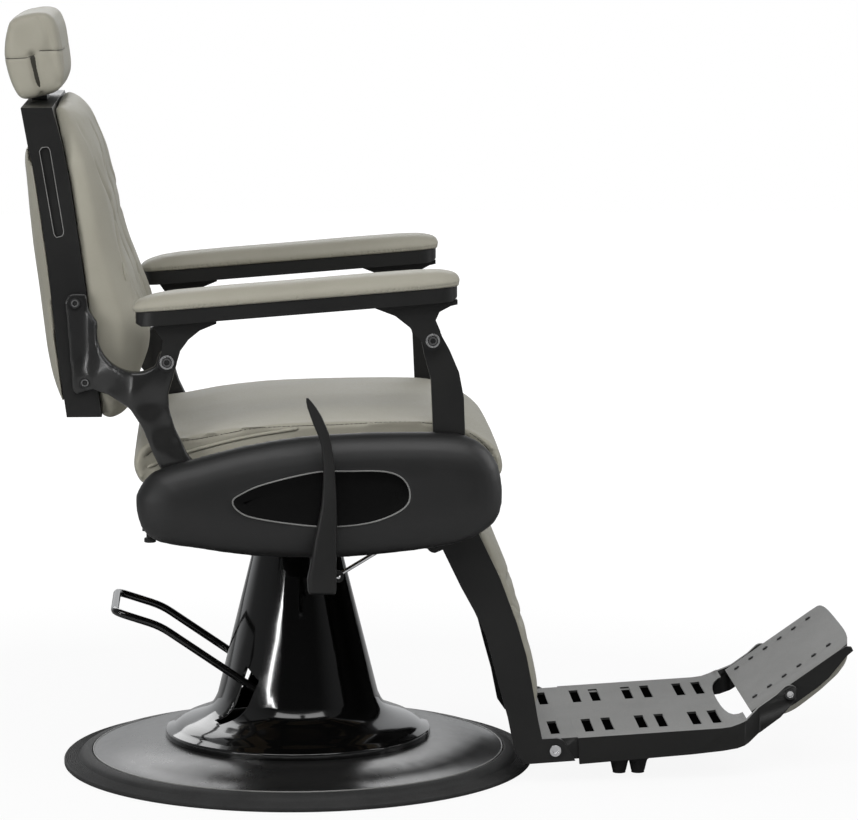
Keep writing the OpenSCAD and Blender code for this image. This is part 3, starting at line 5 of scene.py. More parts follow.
import bmesh
import bpy
import numpy as np
from mathutils import Matrix, Vector
from mathutils.bvhtree import BVHTree
from mathutils.kdtree import KDTree

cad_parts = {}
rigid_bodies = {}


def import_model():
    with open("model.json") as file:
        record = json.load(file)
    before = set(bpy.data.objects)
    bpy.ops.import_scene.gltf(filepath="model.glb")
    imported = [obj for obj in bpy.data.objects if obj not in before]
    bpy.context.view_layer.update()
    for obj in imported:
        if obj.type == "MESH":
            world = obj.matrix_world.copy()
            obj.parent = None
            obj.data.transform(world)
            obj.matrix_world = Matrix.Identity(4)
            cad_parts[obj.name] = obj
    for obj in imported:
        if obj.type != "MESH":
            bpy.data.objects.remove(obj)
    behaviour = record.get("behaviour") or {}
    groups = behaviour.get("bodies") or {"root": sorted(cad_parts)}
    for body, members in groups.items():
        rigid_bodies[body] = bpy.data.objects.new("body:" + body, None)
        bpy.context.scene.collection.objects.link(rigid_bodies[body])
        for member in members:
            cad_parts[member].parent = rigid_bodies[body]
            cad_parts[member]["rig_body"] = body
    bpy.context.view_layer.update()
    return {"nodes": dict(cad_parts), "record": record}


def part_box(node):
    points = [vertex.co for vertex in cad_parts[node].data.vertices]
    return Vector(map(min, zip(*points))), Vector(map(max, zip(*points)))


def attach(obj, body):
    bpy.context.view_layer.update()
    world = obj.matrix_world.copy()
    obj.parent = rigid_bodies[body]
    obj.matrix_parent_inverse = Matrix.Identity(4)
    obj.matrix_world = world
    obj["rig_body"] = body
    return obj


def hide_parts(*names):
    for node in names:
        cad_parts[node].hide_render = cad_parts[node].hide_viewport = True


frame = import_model()
NODES = frame["nodes"]
scene = bpy.context.scene

SIDES = ((-1, "right"), (1, "left"))  # sign of y on each side, and its word in the nodes' names
OUTSIDE = 0.6  # distance from the chair's middle at which rays towards it start
SEAM_GAP = 0.004  # spacing of the points that a seam is laid through
SUNK, RING_SUNK = 0.85, 0.35  # share of a crease's depth at which the line in it lies
BEVEL_ABOVE, SHARP_ABOVE = math.radians(32), math.radians(38)
CLOTH_FRAMES, PRESSURE = 20, 4.0
BOLT_REACH = 0.015  # radius that the rings on a bolt's face span

# ---------------------------------------------------------------- camera
cam_data = bpy.data.cameras.new("camera")
cam_data.sensor_fit = "HORIZONTAL"
cam_data.sensor_width = 36.0
cam_data.lens = 166.33
cam = bpy.data.objects.new("camera", cam_data)
scene.collection.objects.link(cam)
cam.location = (-0.098, -5.5, 1.245)
cam.rotation_euler = Vector((0.0510, 0.9896, -0.1347)).to_track_quat("-Z", "Y").to_euler()
scene.camera = cam


# ---------------------------------------------------------------- materials
class Shader:
    """A node material on object coordinates, so that it travels with its piece."""

    def __init__(self, name, **fixed):
        self.mat = bpy.data.materials.new(name)
        self.mat.use_nodes = True
        self.nt = self.mat.node_tree
        self.bsdf = self.nt.nodes["Principled BSDF"]
        for key, value in fixed.items():
            self.bsdf.inputs[key.replace("_", " ")].default_value = value
        self.coord = self.nt.nodes.new("ShaderNodeTexCoord")
        self.normal = None

    def new(self, kind, **inputs):
        node = self.nt.nodes.new(kind)
        for key, value in inputs.items():
            node.inputs[key.replace("_", " ")].default_value = value
        return node

    def link(self, a, b):
        self.nt.links.new(a, b)

    def place(self, scale):
        m = self.new("ShaderNodeMapping")
        m.inputs["Scale"].default_value = scale
        self.link(self.coord.outputs["Object"], m.inputs["Vector"])
        return m.outputs["Vector"]

    def noise(self, scale, detail, rough, stretch=None):
        n = self.new("ShaderNodeTexNoise", Scale=scale, Detail=detail, Roughness=rough)
        self.link(self.place(stretch) if stretch else self.coord.outputs["Object"], n.inputs["Vector"])
        return n.outputs["Fac"]

    def cells(self, scale):
        v = self.new("ShaderNodeTexVoronoi", Scale=scale)
        self.link(self.coord.outputs["Object"], v.inputs["Vector"])
        return v.outputs["Distance"]

    def ramp(self, fac, *stops):
        r = self.new("ShaderNodeValToRGB")
        while len(r.color_ramp.elements) < len(stops):
            r.color_ramp.elements.new(0.5)
        for e, (pos, col) in zip(r.color_ramp.elements, stops):
            e.position = pos
            e.color = (*col, 1)
        self.link(fac, r.inputs["Fac"])
        return r.outputs["Color"]

    def mix(self, fac, a, b):
        m = self.nt.nodes.new("ShaderNodeMix")
        m.data_type = "RGBA"
        for sock, value in ((m.inputs[0], fac), (m.inputs[6], a), (m.inputs[7], b)):
            if hasattr(value, "is_output"):
                self.link(value, sock)
            elif isinstance(value, (int, float)):
                sock.default_value = value
            else:
                sock.default_value = (*value, 1)
        return m.outputs[2]

    def span(self, fac, lo, hi, a, b):
        """Maps the values from a to b on to lo to hi."""
        r = self.nt.nodes.new("ShaderNodeMapRange")
        for key, value in (("From Min", a), ("From Max", b), ("To Min", lo), ("To Max", hi)):
            r.inputs[key].default_value = value
        self.link(fac, r.inputs["Value"])
        return r.outputs["Result"]

    def sums(self, *parts):
        out = None
        for fac, gain in parts:
            m = self.nt.nodes.new("ShaderNodeMath")
            m.operation = "MULTIPLY_ADD"
            self.link(fac, m.inputs[0])
            m.inputs[1].default_value = gain
            if out is None:
                m.inputs[2].default_value = 0
            else:
                self.link(out, m.inputs[2])
            out = m.outputs[0]
        return out

    def bump(self, height, distance, strength):
        b = self.new("ShaderNodeBump", Distance=distance, Strength=strength)
        self.link(height, b.inputs["Height"])
        if self.normal is not None:
            self.link(self.normal, b.inputs["Normal"])
        self.normal = b.outputs["Normal"]
        self.link(self.normal, self.bsdf.inputs["Normal"])

    def set(self, key, out):
        self.link(out, self.bsdf.inputs[key])


def leather(name, base, shade, gain=1.0):
    s = Shader(name, Specular_IOR_Level=0.24, Sheen_Weight=0.03, Sheen_Roughness=0.5)
    broad = s.noise(9, 4, 0.55)
    fine = s.noise(420, 3, 0.6)
    pores = s.cells(1250)
    col = s.ramp(broad, (0.32, shade), (0.68, base))
    col = s.mix(s.span(pores, 0.16, 0.0, 0.0, 0.5), col, tuple(c * 0.55 for c in shade))
    s.set("Base Color", col)
    s.set("Roughness", s.span(s.sums((fine, 0.6), (broad, 0.4)), 0.42, 0.62, 0.3, 0.7))
    s.bump(s.sums((pores, 0.7), (fine, 0.5)), 0.00025 * gain, 0.55)
    s.bump(s.noise(38, 3, 0.6), 0.0009 * gain, 0.35)
    return s.mat


def paint(name, base, light, rough, grain=900, depth=0.00006, level=0.35):
    s = Shader(name, Specular_IOR_Level=level)
    broad = s.noise(7, 3, 0.6)
    fine = s.noise(grain, 2, 0.5)
    scuff = s.noise(60, 5, 0.7, stretch=(1, 1, 5))
    col = s.ramp(broad, (0.3, base), (0.75, light))
    col = s.mix(s.span(scuff, 0, 0.35, 0.62, 0.8), col, tuple(min(1, c * 1.7) for c in light))
    s.set("Base Color", col)
    s.set("Roughness", s.span(s.sums((broad, 0.5), (scuff, 0.5)), rough[0], rough[1], 0.3, 0.7))
    s.bump(fine, depth, 0.6)
    return s.mat


def gloss(name, base, coat, rough=0.09, level=0.5):
    s = Shader(name, Coat_Weight=coat, Coat_Roughness=0.04, Specular_IOR_Level=level)
    broad = s.noise(5, 3, 0.5)
    dust = s.cells(260)
    col = s.ramp(broad, (0.3, base), (0.8, tuple(c * 1.35 for c in base)))
    col = s.mix(s.span(dust, 0.01, 0.0, 0.02, 0.07), col, (0.05, 0.05, 0.05))
    s.set("Base Color", col)
    s.set("Roughness", s.span(broad, rough * 0.7, rough * 1.6, 0.3, 0.7))
    s.bump(s.noise(30, 2, 0.5), 0.00012, 0.25)
    return s.mat


def bare_metal(name, base, rough=(0.2, 0.36)):
    s = Shader(name, Metallic=1.0)
    lines = s.noise(1, 6, 0.7, stretch=(4, 160, 160))
    smudge = s.noise(24, 4, 0.6)
    s.set("Base Color", s.ramp(smudge, (0.3, tuple(c * 0.86 for c in base)), (0.7, base)))
    s.set("Roughness", s.span(s.sums((lines, 0.5), (smudge, 0.5)), rough[0], rough[1], 0.3, 0.7))
    s.bump(lines, 0.00004, 0.3)
    return s.mat


def bolt_face(name, centres, *stops):
    """Bright and dark rings round the bolts' axes, each given as (x, z); stops are (radius, value, metal)."""
    s = Shader(name, Metallic=0.0)
    near = None
    for x, z in centres:
        off = s.nt.nodes.new("ShaderNodeVectorMath")
        off.operation = "SUBTRACT"
        off.inputs[1].default_value = (x, 0, z)
        s.link(s.coord.outputs["Object"], off.inputs[0])
        flat = s.nt.nodes.new("ShaderNodeVectorMath")
        flat.operation = "MULTIPLY"
        flat.inputs[1].default_value = (1, 0, 1)
        s.link(off.outputs[0], flat.inputs[0])
        far = s.nt.nodes.new("ShaderNodeVectorMath")
        far.operation = "LENGTH"
        s.link(flat.outputs[0], far.inputs[0])
        if near is None:
            near = far.outputs["Value"]
        else:
            low = s.nt.nodes.new("ShaderNodeMath")
            low.operation = "MINIMUM"
            s.link(near, low.inputs[0])
            s.link(far.outputs["Value"], low.inputs[1])
            near = low.outputs[0]
    part = s.span(near, 0.0, 1.0, 0.0, BOLT_REACH)
    smudge = s.noise(160, 3, 0.6)
    tone = s.ramp(part, *[(r / BOLT_REACH, (v, v, v)) for r, v, m in stops])
    metal = s.ramp(part, *[(r / BOLT_REACH, (m, m, m)) for r, v, m in stops])
    for node in (tone, metal):
        node.node.color_ramp.interpolation = "CONSTANT"
    s.set("Base Color", s.mix(s.span(smudge, 0.0, 0.25, 0.4, 0.8), tone, (0.05, 0.05, 0.05)))
    s.set("Metallic", metal)
    s.set("Roughness", s.span(smudge, 0.14, 0.30, 0.3, 0.7))
    return s.mat


def rubber(name, base):
    s = Shader(name, Specular_IOR_Level=0.3)
    fine = s.noise(700, 3, 0.6)
    broad = s.noise(14, 4, 0.6)
    col = s.ramp(broad, (0.3, base), (0.75, tuple(c * 1.6 for c in base)))
    s.set("Base Color", s.mix(s.span(fine, 0, 0.2, 0.55, 0.75), col, tuple(c * 2.6 for c in base)))
    s.set("Roughness", s.span(fine, 0.55, 0.8, 0.3, 0.7))
    s.bump(fine, 0.00012, 0.6)
    return s.mat


def tread_paint(name, base):
    s = Shader(name, Specular_IOR_Level=0.3)
    grit = s.cells(1500)
    fine = s.noise(650, 2, 0.6)
    broad = s.noise(8, 4, 0.6)
    col = s.ramp(broad, (0.3, tuple(c * 0.9 for c in base)), (0.72, tuple(c * 1.08 for c in base)))
    col = s.mix(s.span(grit, 0.3, 0.0, 0.05, 0.45), col, tuple(c * 0.5 for c in base))
    s.set("Base Color", col)
    s.set("Roughness", s.span(fine, 0.52, 0.72, 0.3, 0.7))
    s.bump(s.sums((grit, 0.8), (fine, 0.4)), 0.00022, 0.6)
    return s.mat


def wood(name):
    s = Shader(name, Specular_IOR_Level=0.3)
    grain = s.noise(1, 5, 0.6, stretch=(9, 90, 260))
    s.set("Base Color", s.ramp(grain, (0.3, (0.42, 0.29, 0.16)), (0.7, (0.6, 0.46, 0.29))))
    s.set("Roughness", s.span(grain, 0.55, 0.75, 0.3, 0.7))
    s.bump(grain, 0.0002, 0.5)
    return s.mat


LEATHER = leather("taupe_leatherette", (0.284, 0.273, 0.226), (0.252, 0.241, 0.198))
PIPING = leather("taupe_piping", (0.284, 0.273, 0.226), (0.252, 0.241, 0.198), 0.6)
THREAD = leather("seam_thread", (0.085, 0.08, 0.064), (0.06, 0.056, 0.044), 0.4)
SEAM = leather("seam_shadow", (0.03, 0.028, 0.022), (0.02, 0.019, 0.015), 0.4)
FRAME = paint("satin_frame_black", (0.009, 0.009, 0.009), (0.013, 0.013, 0.0125), rough=(0.32, 0.44), level=0.3)
CAST = paint("cast_black", (0.010, 0.010, 0.010), (0.014, 0.014, 0.0135), rough=(0.20, 0.28), level=0.5)
BASE = paint("satin_base_black", (0.008, 0.008, 0.008), (0.012, 0.012, 0.012), rough=(0.25, 0.34), level=0.6,
             grain=500, depth=0.00002)
SHELL = paint("satin_shell_black", (0.004, 0.004, 0.004), (0.006, 0.006, 0.006), rough=(0.42, 0.52), grain=1400,
              depth=0.00004, level=0.6)
# painted highlight: a light grey for the thin lines on the edges of black parts
EDGE_HIGHLIGHT = paint("painted_edge_highlight", (0.13, 0.13, 0.125), (0.20, 0.20, 0.195), rough=(0.3, 0.4))
GLOSS = gloss("gloss_black", (0.0015, 0.0015, 0.0015), coat=0.4)
INSET = gloss("gloss_inset", (0.0015, 0.0015, 0.0015), rough=0.3, coat=0.0, level=0.12)
STEEL = bare_metal("zinc_steel", (0.58, 0.58, 0.57))
CHROME = bare_metal("polished_chrome", (0.8, 0.8, 0.81), rough=(0.06, 0.16))
RUBBER = rubber("rim_rubber", (0.016, 0.016, 0.016))
BUMPER = rubber("bumper_rubber", (0.007, 0.007, 0.007))
# painted shade: a matt black for the strips that darken the footplate's slots
SLOT_SHADE = Shader("painted_slot_shade", Roughness=1.0, Specular_IOR_Level=0.0, Base_Color=(0.0012, 0.0012, 0.0012, 1)).mat
TREAD = tread_paint("tread_grey", (0.16, 0.16, 0.155))
FLANGE = paint("flange_black", (0.008, 0.008, 0.0078), (0.011, 0.011, 0.0105), rough=(0.36, 0.48), level=0.3)
PLY = wood("birch_ply")
ARM_BOLT = bolt_face("ringed_bolt", [(-0.1766, 0.6010), (0.1759, 0.6278)], (0.0, 0.01, 0.0), (0.0036, 0.12, 0.6),
                     (0.0056, 0.01, 0.0), (0.0068, 0.82, 1.0))
# painted shade: the dark disc in the middle of each back bolt stands for the shade inside its hex socket
BACK_BOLT = bolt_face("socket_bolt", [(-0.299, 0.674), (-0.287, 0.567)], (0.0, 0.01, 0.0), (0.0034, 0.30, 0.8),
                      (0.0048, 0.02, 0.2))
TOE_BOLT = bolt_face("dark_ringed_bolt", [(0.6775, 0.1173)], (0.0, 0.75, 1.0), (0.0046, 0.01, 0.0))

FINISH = {
    "base_black": BASE, "gloss_black": GLOSS, "rim_rubber": RUBBER, "frame_black": FRAME,
    "shell_black": SHELL, "steel": STEEL, "chrome": CHROME, "upholstery": LEATHER,
    "tread_grey": TREAD, "bumper_rubber": BUMPER, "plywood": PLY,
}
BODY = {n: b for b, ns in frame["record"]["behaviour"]["bodies"].items() for n in ns}


# ---------------------------------------------------------------- mesh helpers
def add(name, mesh, mat, body, smooth=True):
    ob = bpy.data.objects.new(name, mesh)
    scene.collection.objects.link(ob)
    mesh.materials.clear()
    mesh.materials.append(mat)
    if smooth:
        mesh.shade_smooth()
    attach(ob, body)
    return ob


def mesh_of(name, verts, faces):
    me = bpy.data.meshes.new(name)
    me.from_pydata([tuple(v) for v in verts], [], faces)
    me.validate()
    bm = bmesh.new()
    bm.from_mesh(me)
    bmesh.ops.recalc_face_normals(bm, faces=bm.faces)
    bm.to_mesh(me)
    bm.free()
    return me


def welded(node):
    me = NODES[node].data.copy()
    bm = bmesh.new()
    bm.from_mesh(me)
    bmesh.ops.remove_doubles(bm, verts=bm.verts, dist=2e-5)
    bm.to_mesh(me)
    bm.free()
    me.materials.clear()
    return me


def applied(ob):
    dg = bpy.context.evaluated_depsgraph_get()
    dg.update()
    me = bpy.data.meshes.new_from_object(ob.evaluated_get(dg), preserve_all_data_layers=False, depsgraph=dg)
    old = ob.data
    ob.modifiers.clear()
    ob.data = me
    bpy.data.meshes.remove(old)
    return ob


def dress(node, mat, bevel):
    """A rigid CAD node redrawn with soft edges and smooth faces."""
    me = welded(node)
    if bevel:
        bm = bmesh.new()
        bm.from_mesh(me)
        bmesh.ops.dissolve_limit(bm, angle_limit=math.radians(0.7), verts=bm.verts, edges=bm.edges)
        bm.to_mesh(me)
        bm.free()
    ob = bpy.data.objects.new(node + "_finish", me)
    scene.collection.objects.link(ob)
    me.materials.append(mat)
    me.shade_smooth()
    if bevel:
        b = ob.modifiers.new("edge", "BEVEL")
        b.limit_method = "ANGLE"
        b.angle_limit = BEVEL_ABOVE
        b.width = bevel
        b.segments = 2
        b.use_clamp_overlap = True
        b.harden_normals = False
    applied(ob)
    ob.data.shade_smooth()
    ob.data.set_sharp_from_angle(angle=SHARP_ABOVE)
    w = ob.modifiers.new("weighted", "WEIGHTED_NORMAL")
    w.keep_sharp = True
    w.weight = 60
    applied(ob)
    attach(ob, BODY[node])
    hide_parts(node)
    return ob


def voxelled(ob, size):
    """Rebuilds the object's mesh on an even grid."""
    r = ob.modifiers.new("voxel", "REMESH")
    r.mode = "VOXEL"
    r.voxel_size = size
    applied(ob)


def remeshed(node, mat, voxel=0.0028, rounds=3):
    """A rigid moulding redrawn with an even, smooth skin."""
    ob = bpy.data.objects.new(node + "_finish", welded(node))
    scene.collection.objects.link(ob)
    voxelled(ob, voxel)
    relax(ob.data, rounds)
    ob.data.materials.append(mat)
    ob.data.shade_smooth()
    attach(ob, BODY[node])
    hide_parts(node)
    return ob


def tree_of(ob):
    dg = bpy.context.evaluated_depsgraph_get()
    return BVHTree.FromObject(ob, dg)


def catmull(pts, steps, closed=False):
    p = [Vector(q) for q in pts]
    m = len(p)
    out = []
    for i in range(m if closed else m - 1):
        a, b, c, d = ((p[(i - 1) % m], p[i], p[(i + 1) % m], p[(i + 2) % m]) if closed else
                      (p[max(i - 1, 0)], p[i], p[i + 1], p[min(i + 2, m - 1)]))
        for k in range(steps):
            t = k / steps
            out.append(0.5 * (2 * b + (c - a) * t + (2 * a - 5 * b + 4 * c - d) * t * t
                              + (3 * b - a - 3 * c + d) * t ** 3))
    if not closed:
        out.append(p[-1].copy())
    return out


def even(pts, gap, closed=False):
    pts = [Vector(p) for p in pts]
    if closed:
        pts = pts + [pts[0]]
    run = [0.0]
    for a, b in zip(pts, pts[1:]):
        run.append(run[-1] + (b - a).length)
    n = max(2, round(run[-1] / gap))
    out, i = [], 0
    for k in range(n if closed else n + 1):
        d = run[-1] * k / n
        while i < len(run) - 2 and run[i + 1] < d:
            i += 1
        f = (d - run[i]) / max(run[i + 1] - run[i], 1e-9)
        out.append(pts[i].lerp(pts[i + 1], f))
    return out


def tube(pts, radius, normals, closed=False, sides=8, flat=1.0):
    """Verts and faces of a round or flattened cord through the points."""
    n = len(pts)
    verts, faces = [], []
    for i, p in enumerate(pts):
        a = pts[(i - 1) % n] if closed or i > 0 else p
        b = pts[(i + 1) % n] if closed or i < n - 1 else p
        t = (b - a).normalized() if (b - a).length > 1e-9 else Vector((1, 0, 0))
        side = t.cross(normals[i])
        side = side.normalized() if side.length > 1e-6 else Vector((0, 1, 0))
        up = side.cross(t).normalized()
        r = radius * (0.35 if not closed and i in (0, n - 1) else 1)
        for k in range(sides):
            a = 2 * math.pi * k / sides
            verts.append(p + side * (r * math.cos(a)) + up * (r * flat * math.sin(a)))
    last = n if closed else n - 1
    for i in range(last):
        for k in range(sides):
            j = (i + 1) % n
            faces.append((i * sides + k, i * sides + (k + 1) % sides, j * sides + (k + 1) % sides, j * sides + k))
    if not closed:
        faces.append(tuple(range(sides))[::-1])
        faces.append(tuple((n - 1) * sides + k for k in range(sides)))
    return verts, faces


def merge(parts):
    verts, faces = [], []
    for v, f in parts:
        base = len(verts)
        verts += v
        faces += [tuple(i + base for i in q) for q in f]
    return verts, faces


def lathe(profile, steps=192):
    """Closed profile of (r, z) turned about the vertical axis."""
    verts, faces, m = [], [], len(profile)
    for s in range(steps):
        a = 2 * math.pi * s / steps
        for r, z in profile:
            verts.append(Vector((r * math.cos(a), r * math.sin(a), z)))
    for s in range(steps):
        for k in range(m):
            s2, k2 = (s + 1) % steps, (k + 1) % m
            faces.append((s * m + k, s2 * m + k, s2 * m + k2, s * m + k2))
    return verts, faces


def turned(profile, centre, axis, steps):
    """Profile of (r, h) from the axis outwards and back to it, turned about an axis through centre."""
    z = Vector(axis).normalized()
    x = z.orthogonal().normalized()
    y = z.cross(x)
    verts, faces, rings = [], [], []
    for r, h in profile:
        if r < 1e-7:
            rings.append([len(verts)])
            verts.append(Vector(centre) + z * h)
        else:
            rings.append(list(range(len(verts), len(verts) + steps)))
            for k in range(steps):
                a = 2 * math.pi * k / steps
                verts.append(Vector(centre) + x * (r * math.cos(a)) + y * (r * math.sin(a)) + z * h)
    for p, q in zip(rings, rings[1:]):
        for k in range(steps):
            k2 = (k + 1) % steps
            if len(p) == 1:
                faces.append((p[0], q[k], q[k2]))
            elif len(q) == 1:
                faces.append((p[k], q[0], p[k2]))
            else:
                faces.append((p[k], q[k], q[k2], p[k2]))
    return verts, faces


# ---------------------------------------------------------------- soft pieces
def coords(me):
    co = np.empty(len(me.vertices) * 3)
    me.vertices.foreach_get("co", co)
    return co.reshape(-1, 3)


def put(me, co):
    me.vertices.foreach_set("co", co.ravel())
    me.update()


def normals(me):
    no = np.empty(len(me.vertices) * 3)
    me.vertex_normals.foreach_get("vector", no)
    return no.reshape(-1, 3)


def relax(me, rounds, factor=0.5, hold=None):
    """Moves each point towards the middle of its neighbours, less where hold is near 1."""
    ed = np.empty(len(me.edges) * 2, int)
    me.edges.foreach_get("vertices", ed)
    ed = ed.reshape(-1, 2)
    co = coords(me)
    n = len(co)
    deg = np.bincount(ed.ravel(), minlength=n).astype(float)[:, None]
    for _ in range(rounds):
        s = np.zeros_like(co)
        for k in range(3):
            s[:, k] = (np.bincount(ed[:, 0], weights=co[ed[:, 1], k], minlength=n)
                       + np.bincount(ed[:, 1], weights=co[ed[:, 0], k], minlength=n))
        step = factor * (s / deg - co)
        if hold is not None:
            step *= (1 - hold)[:, None]
        co = co + step
    put(me, co)


def lean_of(me):
    """The turn about Y that lays most of a piece's faces along the axes."""
    total = 0j
    for q in me.polygons:
        if abs(q.normal.y) < 0.3:
            total += q.area * np.exp(4j * math.atan2(q.normal.z, q.normal.x))
    return Matrix.Rotation(float(np.angle(total)) / 4, 4, "Y")


def soft(node, voxel, shrink, cap, smooth, hold=None):
    """The node's shape remeshed, then blown up a little as cloth under pressure."""
    me = welded(node)
    solid = BVHTree.FromPolygons([v.co.copy() for v in me.vertices], [tuple(q.vertices) for q in me.polygons])
    lean = lean_of(me)
    me.transform(lean)
    ob = bpy.data.objects.new(node + "_soft", me)
    scene.collection.objects.link(ob)
    voxelled(ob, voxel)
    me = ob.data
    me.transform(lean.inverted())
    relax(me, smooth)
    start = coords(me)
    start -= normals(me) * shrink
    put(me, start)
    keep = hold(start, normals(me)) if hold else np.zeros(len(start))
    ob.modifiers.new("cloth", "CLOTH")
    c = ob.modifiers["cloth"].settings
    c.quality = 5
    c.mass = 0.3
    c.tension_stiffness = 15
    c.compression_stiffness = 15
    c.shear_stiffness = 5
    c.bending_stiffness = 0.6
    c.use_pressure = True
    c.uniform_pressure_force = PRESSURE
    c.effector_weights.gravity = 0
    ob.modifiers["cloth"].collision_settings.use_collision = False
    ob.modifiers["cloth"].point_cache.frame_start = 1
    ob.modifiers["cloth"].point_cache.frame_end = CLOTH_FRAMES
    for f in range(1, CLOTH_FRAMES + 1):
        scene.frame_set(f)
    dg = bpy.context.evaluated_depsgraph_get()
    ev = ob.evaluated_get(dg)
    end = coords(ev.data).copy()
    ob.modifiers.clear()
    scene.frame_set(1)
    move = end - start
    size = np.linalg.norm(move, axis=1)
    lim = np.minimum(size, cap) / np.maximum(size, 1e-9)
    move *= (lim * (1 - keep))[:, None]
    put(me, start + move)
    relax(me, 1, hold=keep)
    regain(me, solid)
    relax(me, 1, 0.4, hold=keep)
    sub = ob.modifiers.new("sub", "SUBSURF")
    sub.levels = 1
    sub.render_levels = 1
    applied(ob)
    ob.data.materials.append(LEATHER)
    ob.data.shade_smooth()
    ob.data.name = ob.name
    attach(ob, BODY[node])
    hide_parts(node)
    return ob


def spread(me, field, rounds):
    """A per-vertex field averaged with its neighbours."""
    ed = np.empty(len(me.edges) * 2, int)
    me.edges.foreach_get("vertices", ed)
    ed = ed.reshape(-1, 2)
    n = len(field)
    deg = np.bincount(ed.ravel(), minlength=n) + 1.0
    for _ in range(rounds):
        field = (field + np.bincount(ed[:, 0], weights=field[ed[:, 1]], minlength=n)
                 + np.bincount(ed[:, 1], weights=field[ed[:, 0]], minlength=n)) / deg
    return field


def regain(me, solid, share=0.9, most=0.005):
    """Swells the places that shrank inside the solid's outline back towards it."""
    co, no = coords(me), normals(me)
    short = np.zeros(len(co))
    for i, q in enumerate(co):
        q = Vector(q)
        hit = solid.find_nearest(q)
        if (hit[0] - q).dot(Vector(no[i])) > 0:
            short[i] = min(hit[3], most)
    put(me, co + no * (share * spread(me, short, 4))[:, None])


def wobble(p):
    """Cheap smooth repeatable noise, about -1 to 1, for arrays of points in metres."""
    x, y, z = p.T
    return (np.sin(x * 61 + 3 * np.sin(y * 23)) + np.sin(y * 47 + 2 * np.sin(z * 31))
            + np.sin(z * 53 + 3 * np.sin(x * 19))) / 3


def refine(ob, kd, reach, longest):
    """Splits the edges near a seam until they are short enough to carry it."""
    bm = bmesh.new()
    bm.from_mesh(ob.data)
    for _ in range(2):
        near = {v for v in bm.verts if kd.find(v.co)[2] < reach}
        cut = [e for e in bm.edges if e.verts[0] in near and e.verts[1] in near and e.calc_length() > longest]
        if not cut:
            break
        bmesh.ops.subdivide_edges(bm, edges=cut, cuts=1, use_grid_fill=True)
    bm.to_mesh(ob.data)
    bm.free()


def crease(ob, lines, width, depth, pucker=0.0006):
    """Presses seams into a soft piece along polylines that lie on it."""
    me = ob.data
    pts = np.array([tuple(p) for line in lines for p in line])
    kd = KDTree(len(pts))
    for i, p in enumerate(pts):
        kd.insert(p, i)
    kd.balance()
    refine(ob, kd, width * 1.8 + 0.003, width * 0.9)
    co, no = coords(me), normals(me)
    reach = width * 5
    lo, hi = pts.min(0) - reach, pts.max(0) + reach
    near = np.where(((co > lo) & (co < hi)).all(1))[0]
    d = np.array([kd.find(co[i])[2] for i in near])
    fall = -depth * np.exp(-(d / width) ** 2)
    fall += pucker * wobble(co[near] * 3.2) * np.exp(-(d / (width * 3)) ** 2)
    co[near] += no[near] * fall[:, None]
    put(me, co)


def on_side(bvh, pts, side, least):
    """Points of (x, z) dropped on to the side face, with their normals, where it is at least that far out."""
    found, norm = [], []
    for p in even([Vector((x, 0, z)) for x, z in pts], SEAM_GAP):
        hit = bvh.ray_cast(Vector((p.x, side * OUTSIDE, p.z)), Vector((0, -side, 0)))
        if hit[0] is not None and abs(hit[0].y) >= least:
            found.append(hit[0])
            norm.append(hit[1])
    return found, norm


def curve2(pts, steps=6):
    return [(q.x, q.z) for q in catmull([Vector((x, 0, z)) for x, z in pts], steps)]


def stitches(line, norm, pitch=0.0065, length=0.0042, radius=0.0006, lift=0.0003):
    """Short threads lying along a line."""
    parts = []
    dist = [0.0]
    for a, b in zip(line, line[1:]):
        dist.append(dist[-1] + (b - a).length)
    n = int(dist[-1] / pitch)

    def spot(d):
        i = min(max(int(np.searchsorted(dist, d)) - 1, 0), len(line) - 2)
        f = (d - dist[i]) / max(dist[i + 1] - dist[i], 1e-9)
        p = line[i].lerp(line[i + 1], f)
        return p, norm[i].lerp(norm[i + 1], f).normalized()

    for k in range(n):
        d0 = (k + 0.5) * pitch - length / 2
        pts, ups = [], []
        for f, h in ((0, -0.0004), (0.25, lift), (0.75, lift), (1, -0.0004)):
            p, nn = spot(d0 + f * length)
            pts.append(p + nn * h)
            ups.append(nn)
        parts.append(tube(pts, radius, sides=5, normals=ups))
    return parts


def trim(name, parts, mat, body):
    v, f = merge(parts)
    return add(name, mesh_of(name, v, f), mat, body)


def hold_low(limit, band=0.004):
    """How firmly points near and under a height are kept still, from 0 to 1."""
    return lambda co, no: np.clip((limit + band - co[:, 2]) / band, 0, 1)


def hold_facing(direction, limit):
    """How firmly points that face a direction are kept still, from 0 to 1."""
    d = np.array(direction, float)
    return lambda co, no: np.clip((no @ d - limit) / (1 - limit) * 3, 0, 1)


def quilt(ob, along, across, face, pitch, rise, depth, width, inset, origin):
    """Diamond channels pressed into the faces that look along `face`."""
    me = ob.data
    co, no = coords(me), normals(me)
    d = np.array(face, float)
    d /= np.linalg.norm(d)
    mask = np.clip((no @ d - 0.25) / 0.35, 0, 1)
    mask *= inset(co)
    u = co @ np.array(across, float)
    v = co @ np.array(along, float) - origin
    a = u / pitch + v / rise
    b = u / pitch - v / rise
    k = 1 / math.hypot(1 / pitch, 1 / rise)
    da = np.abs(a - np.round(a)) * k
    db = np.abs(b - np.round(b)) * k
    dmin = np.minimum(da, db)
    soft_top = np.clip(dmin / (0.5 * k), 0, 1)
    drop = -depth * np.exp(-(dmin / width) ** 2) - 0.6 * depth * (1 - soft_top) ** 2
    both = np.hypot(da, db)
    drop -= depth * 0.9 * np.exp(-(both / (width * 1.7)) ** 2)
    co += no * (drop * mask)[:, None]
    put(me, co)


# ---------------------------------------------------------------- rigid pieces
SLOT_OF = {s["node"]: s["material_slot"] for s in frame["record"]["subparts"]}
for node, ob in NODES.items():
    ob.data.materials.clear()
    ob.data.materials.append(FINISH[SLOT_OF[node]])

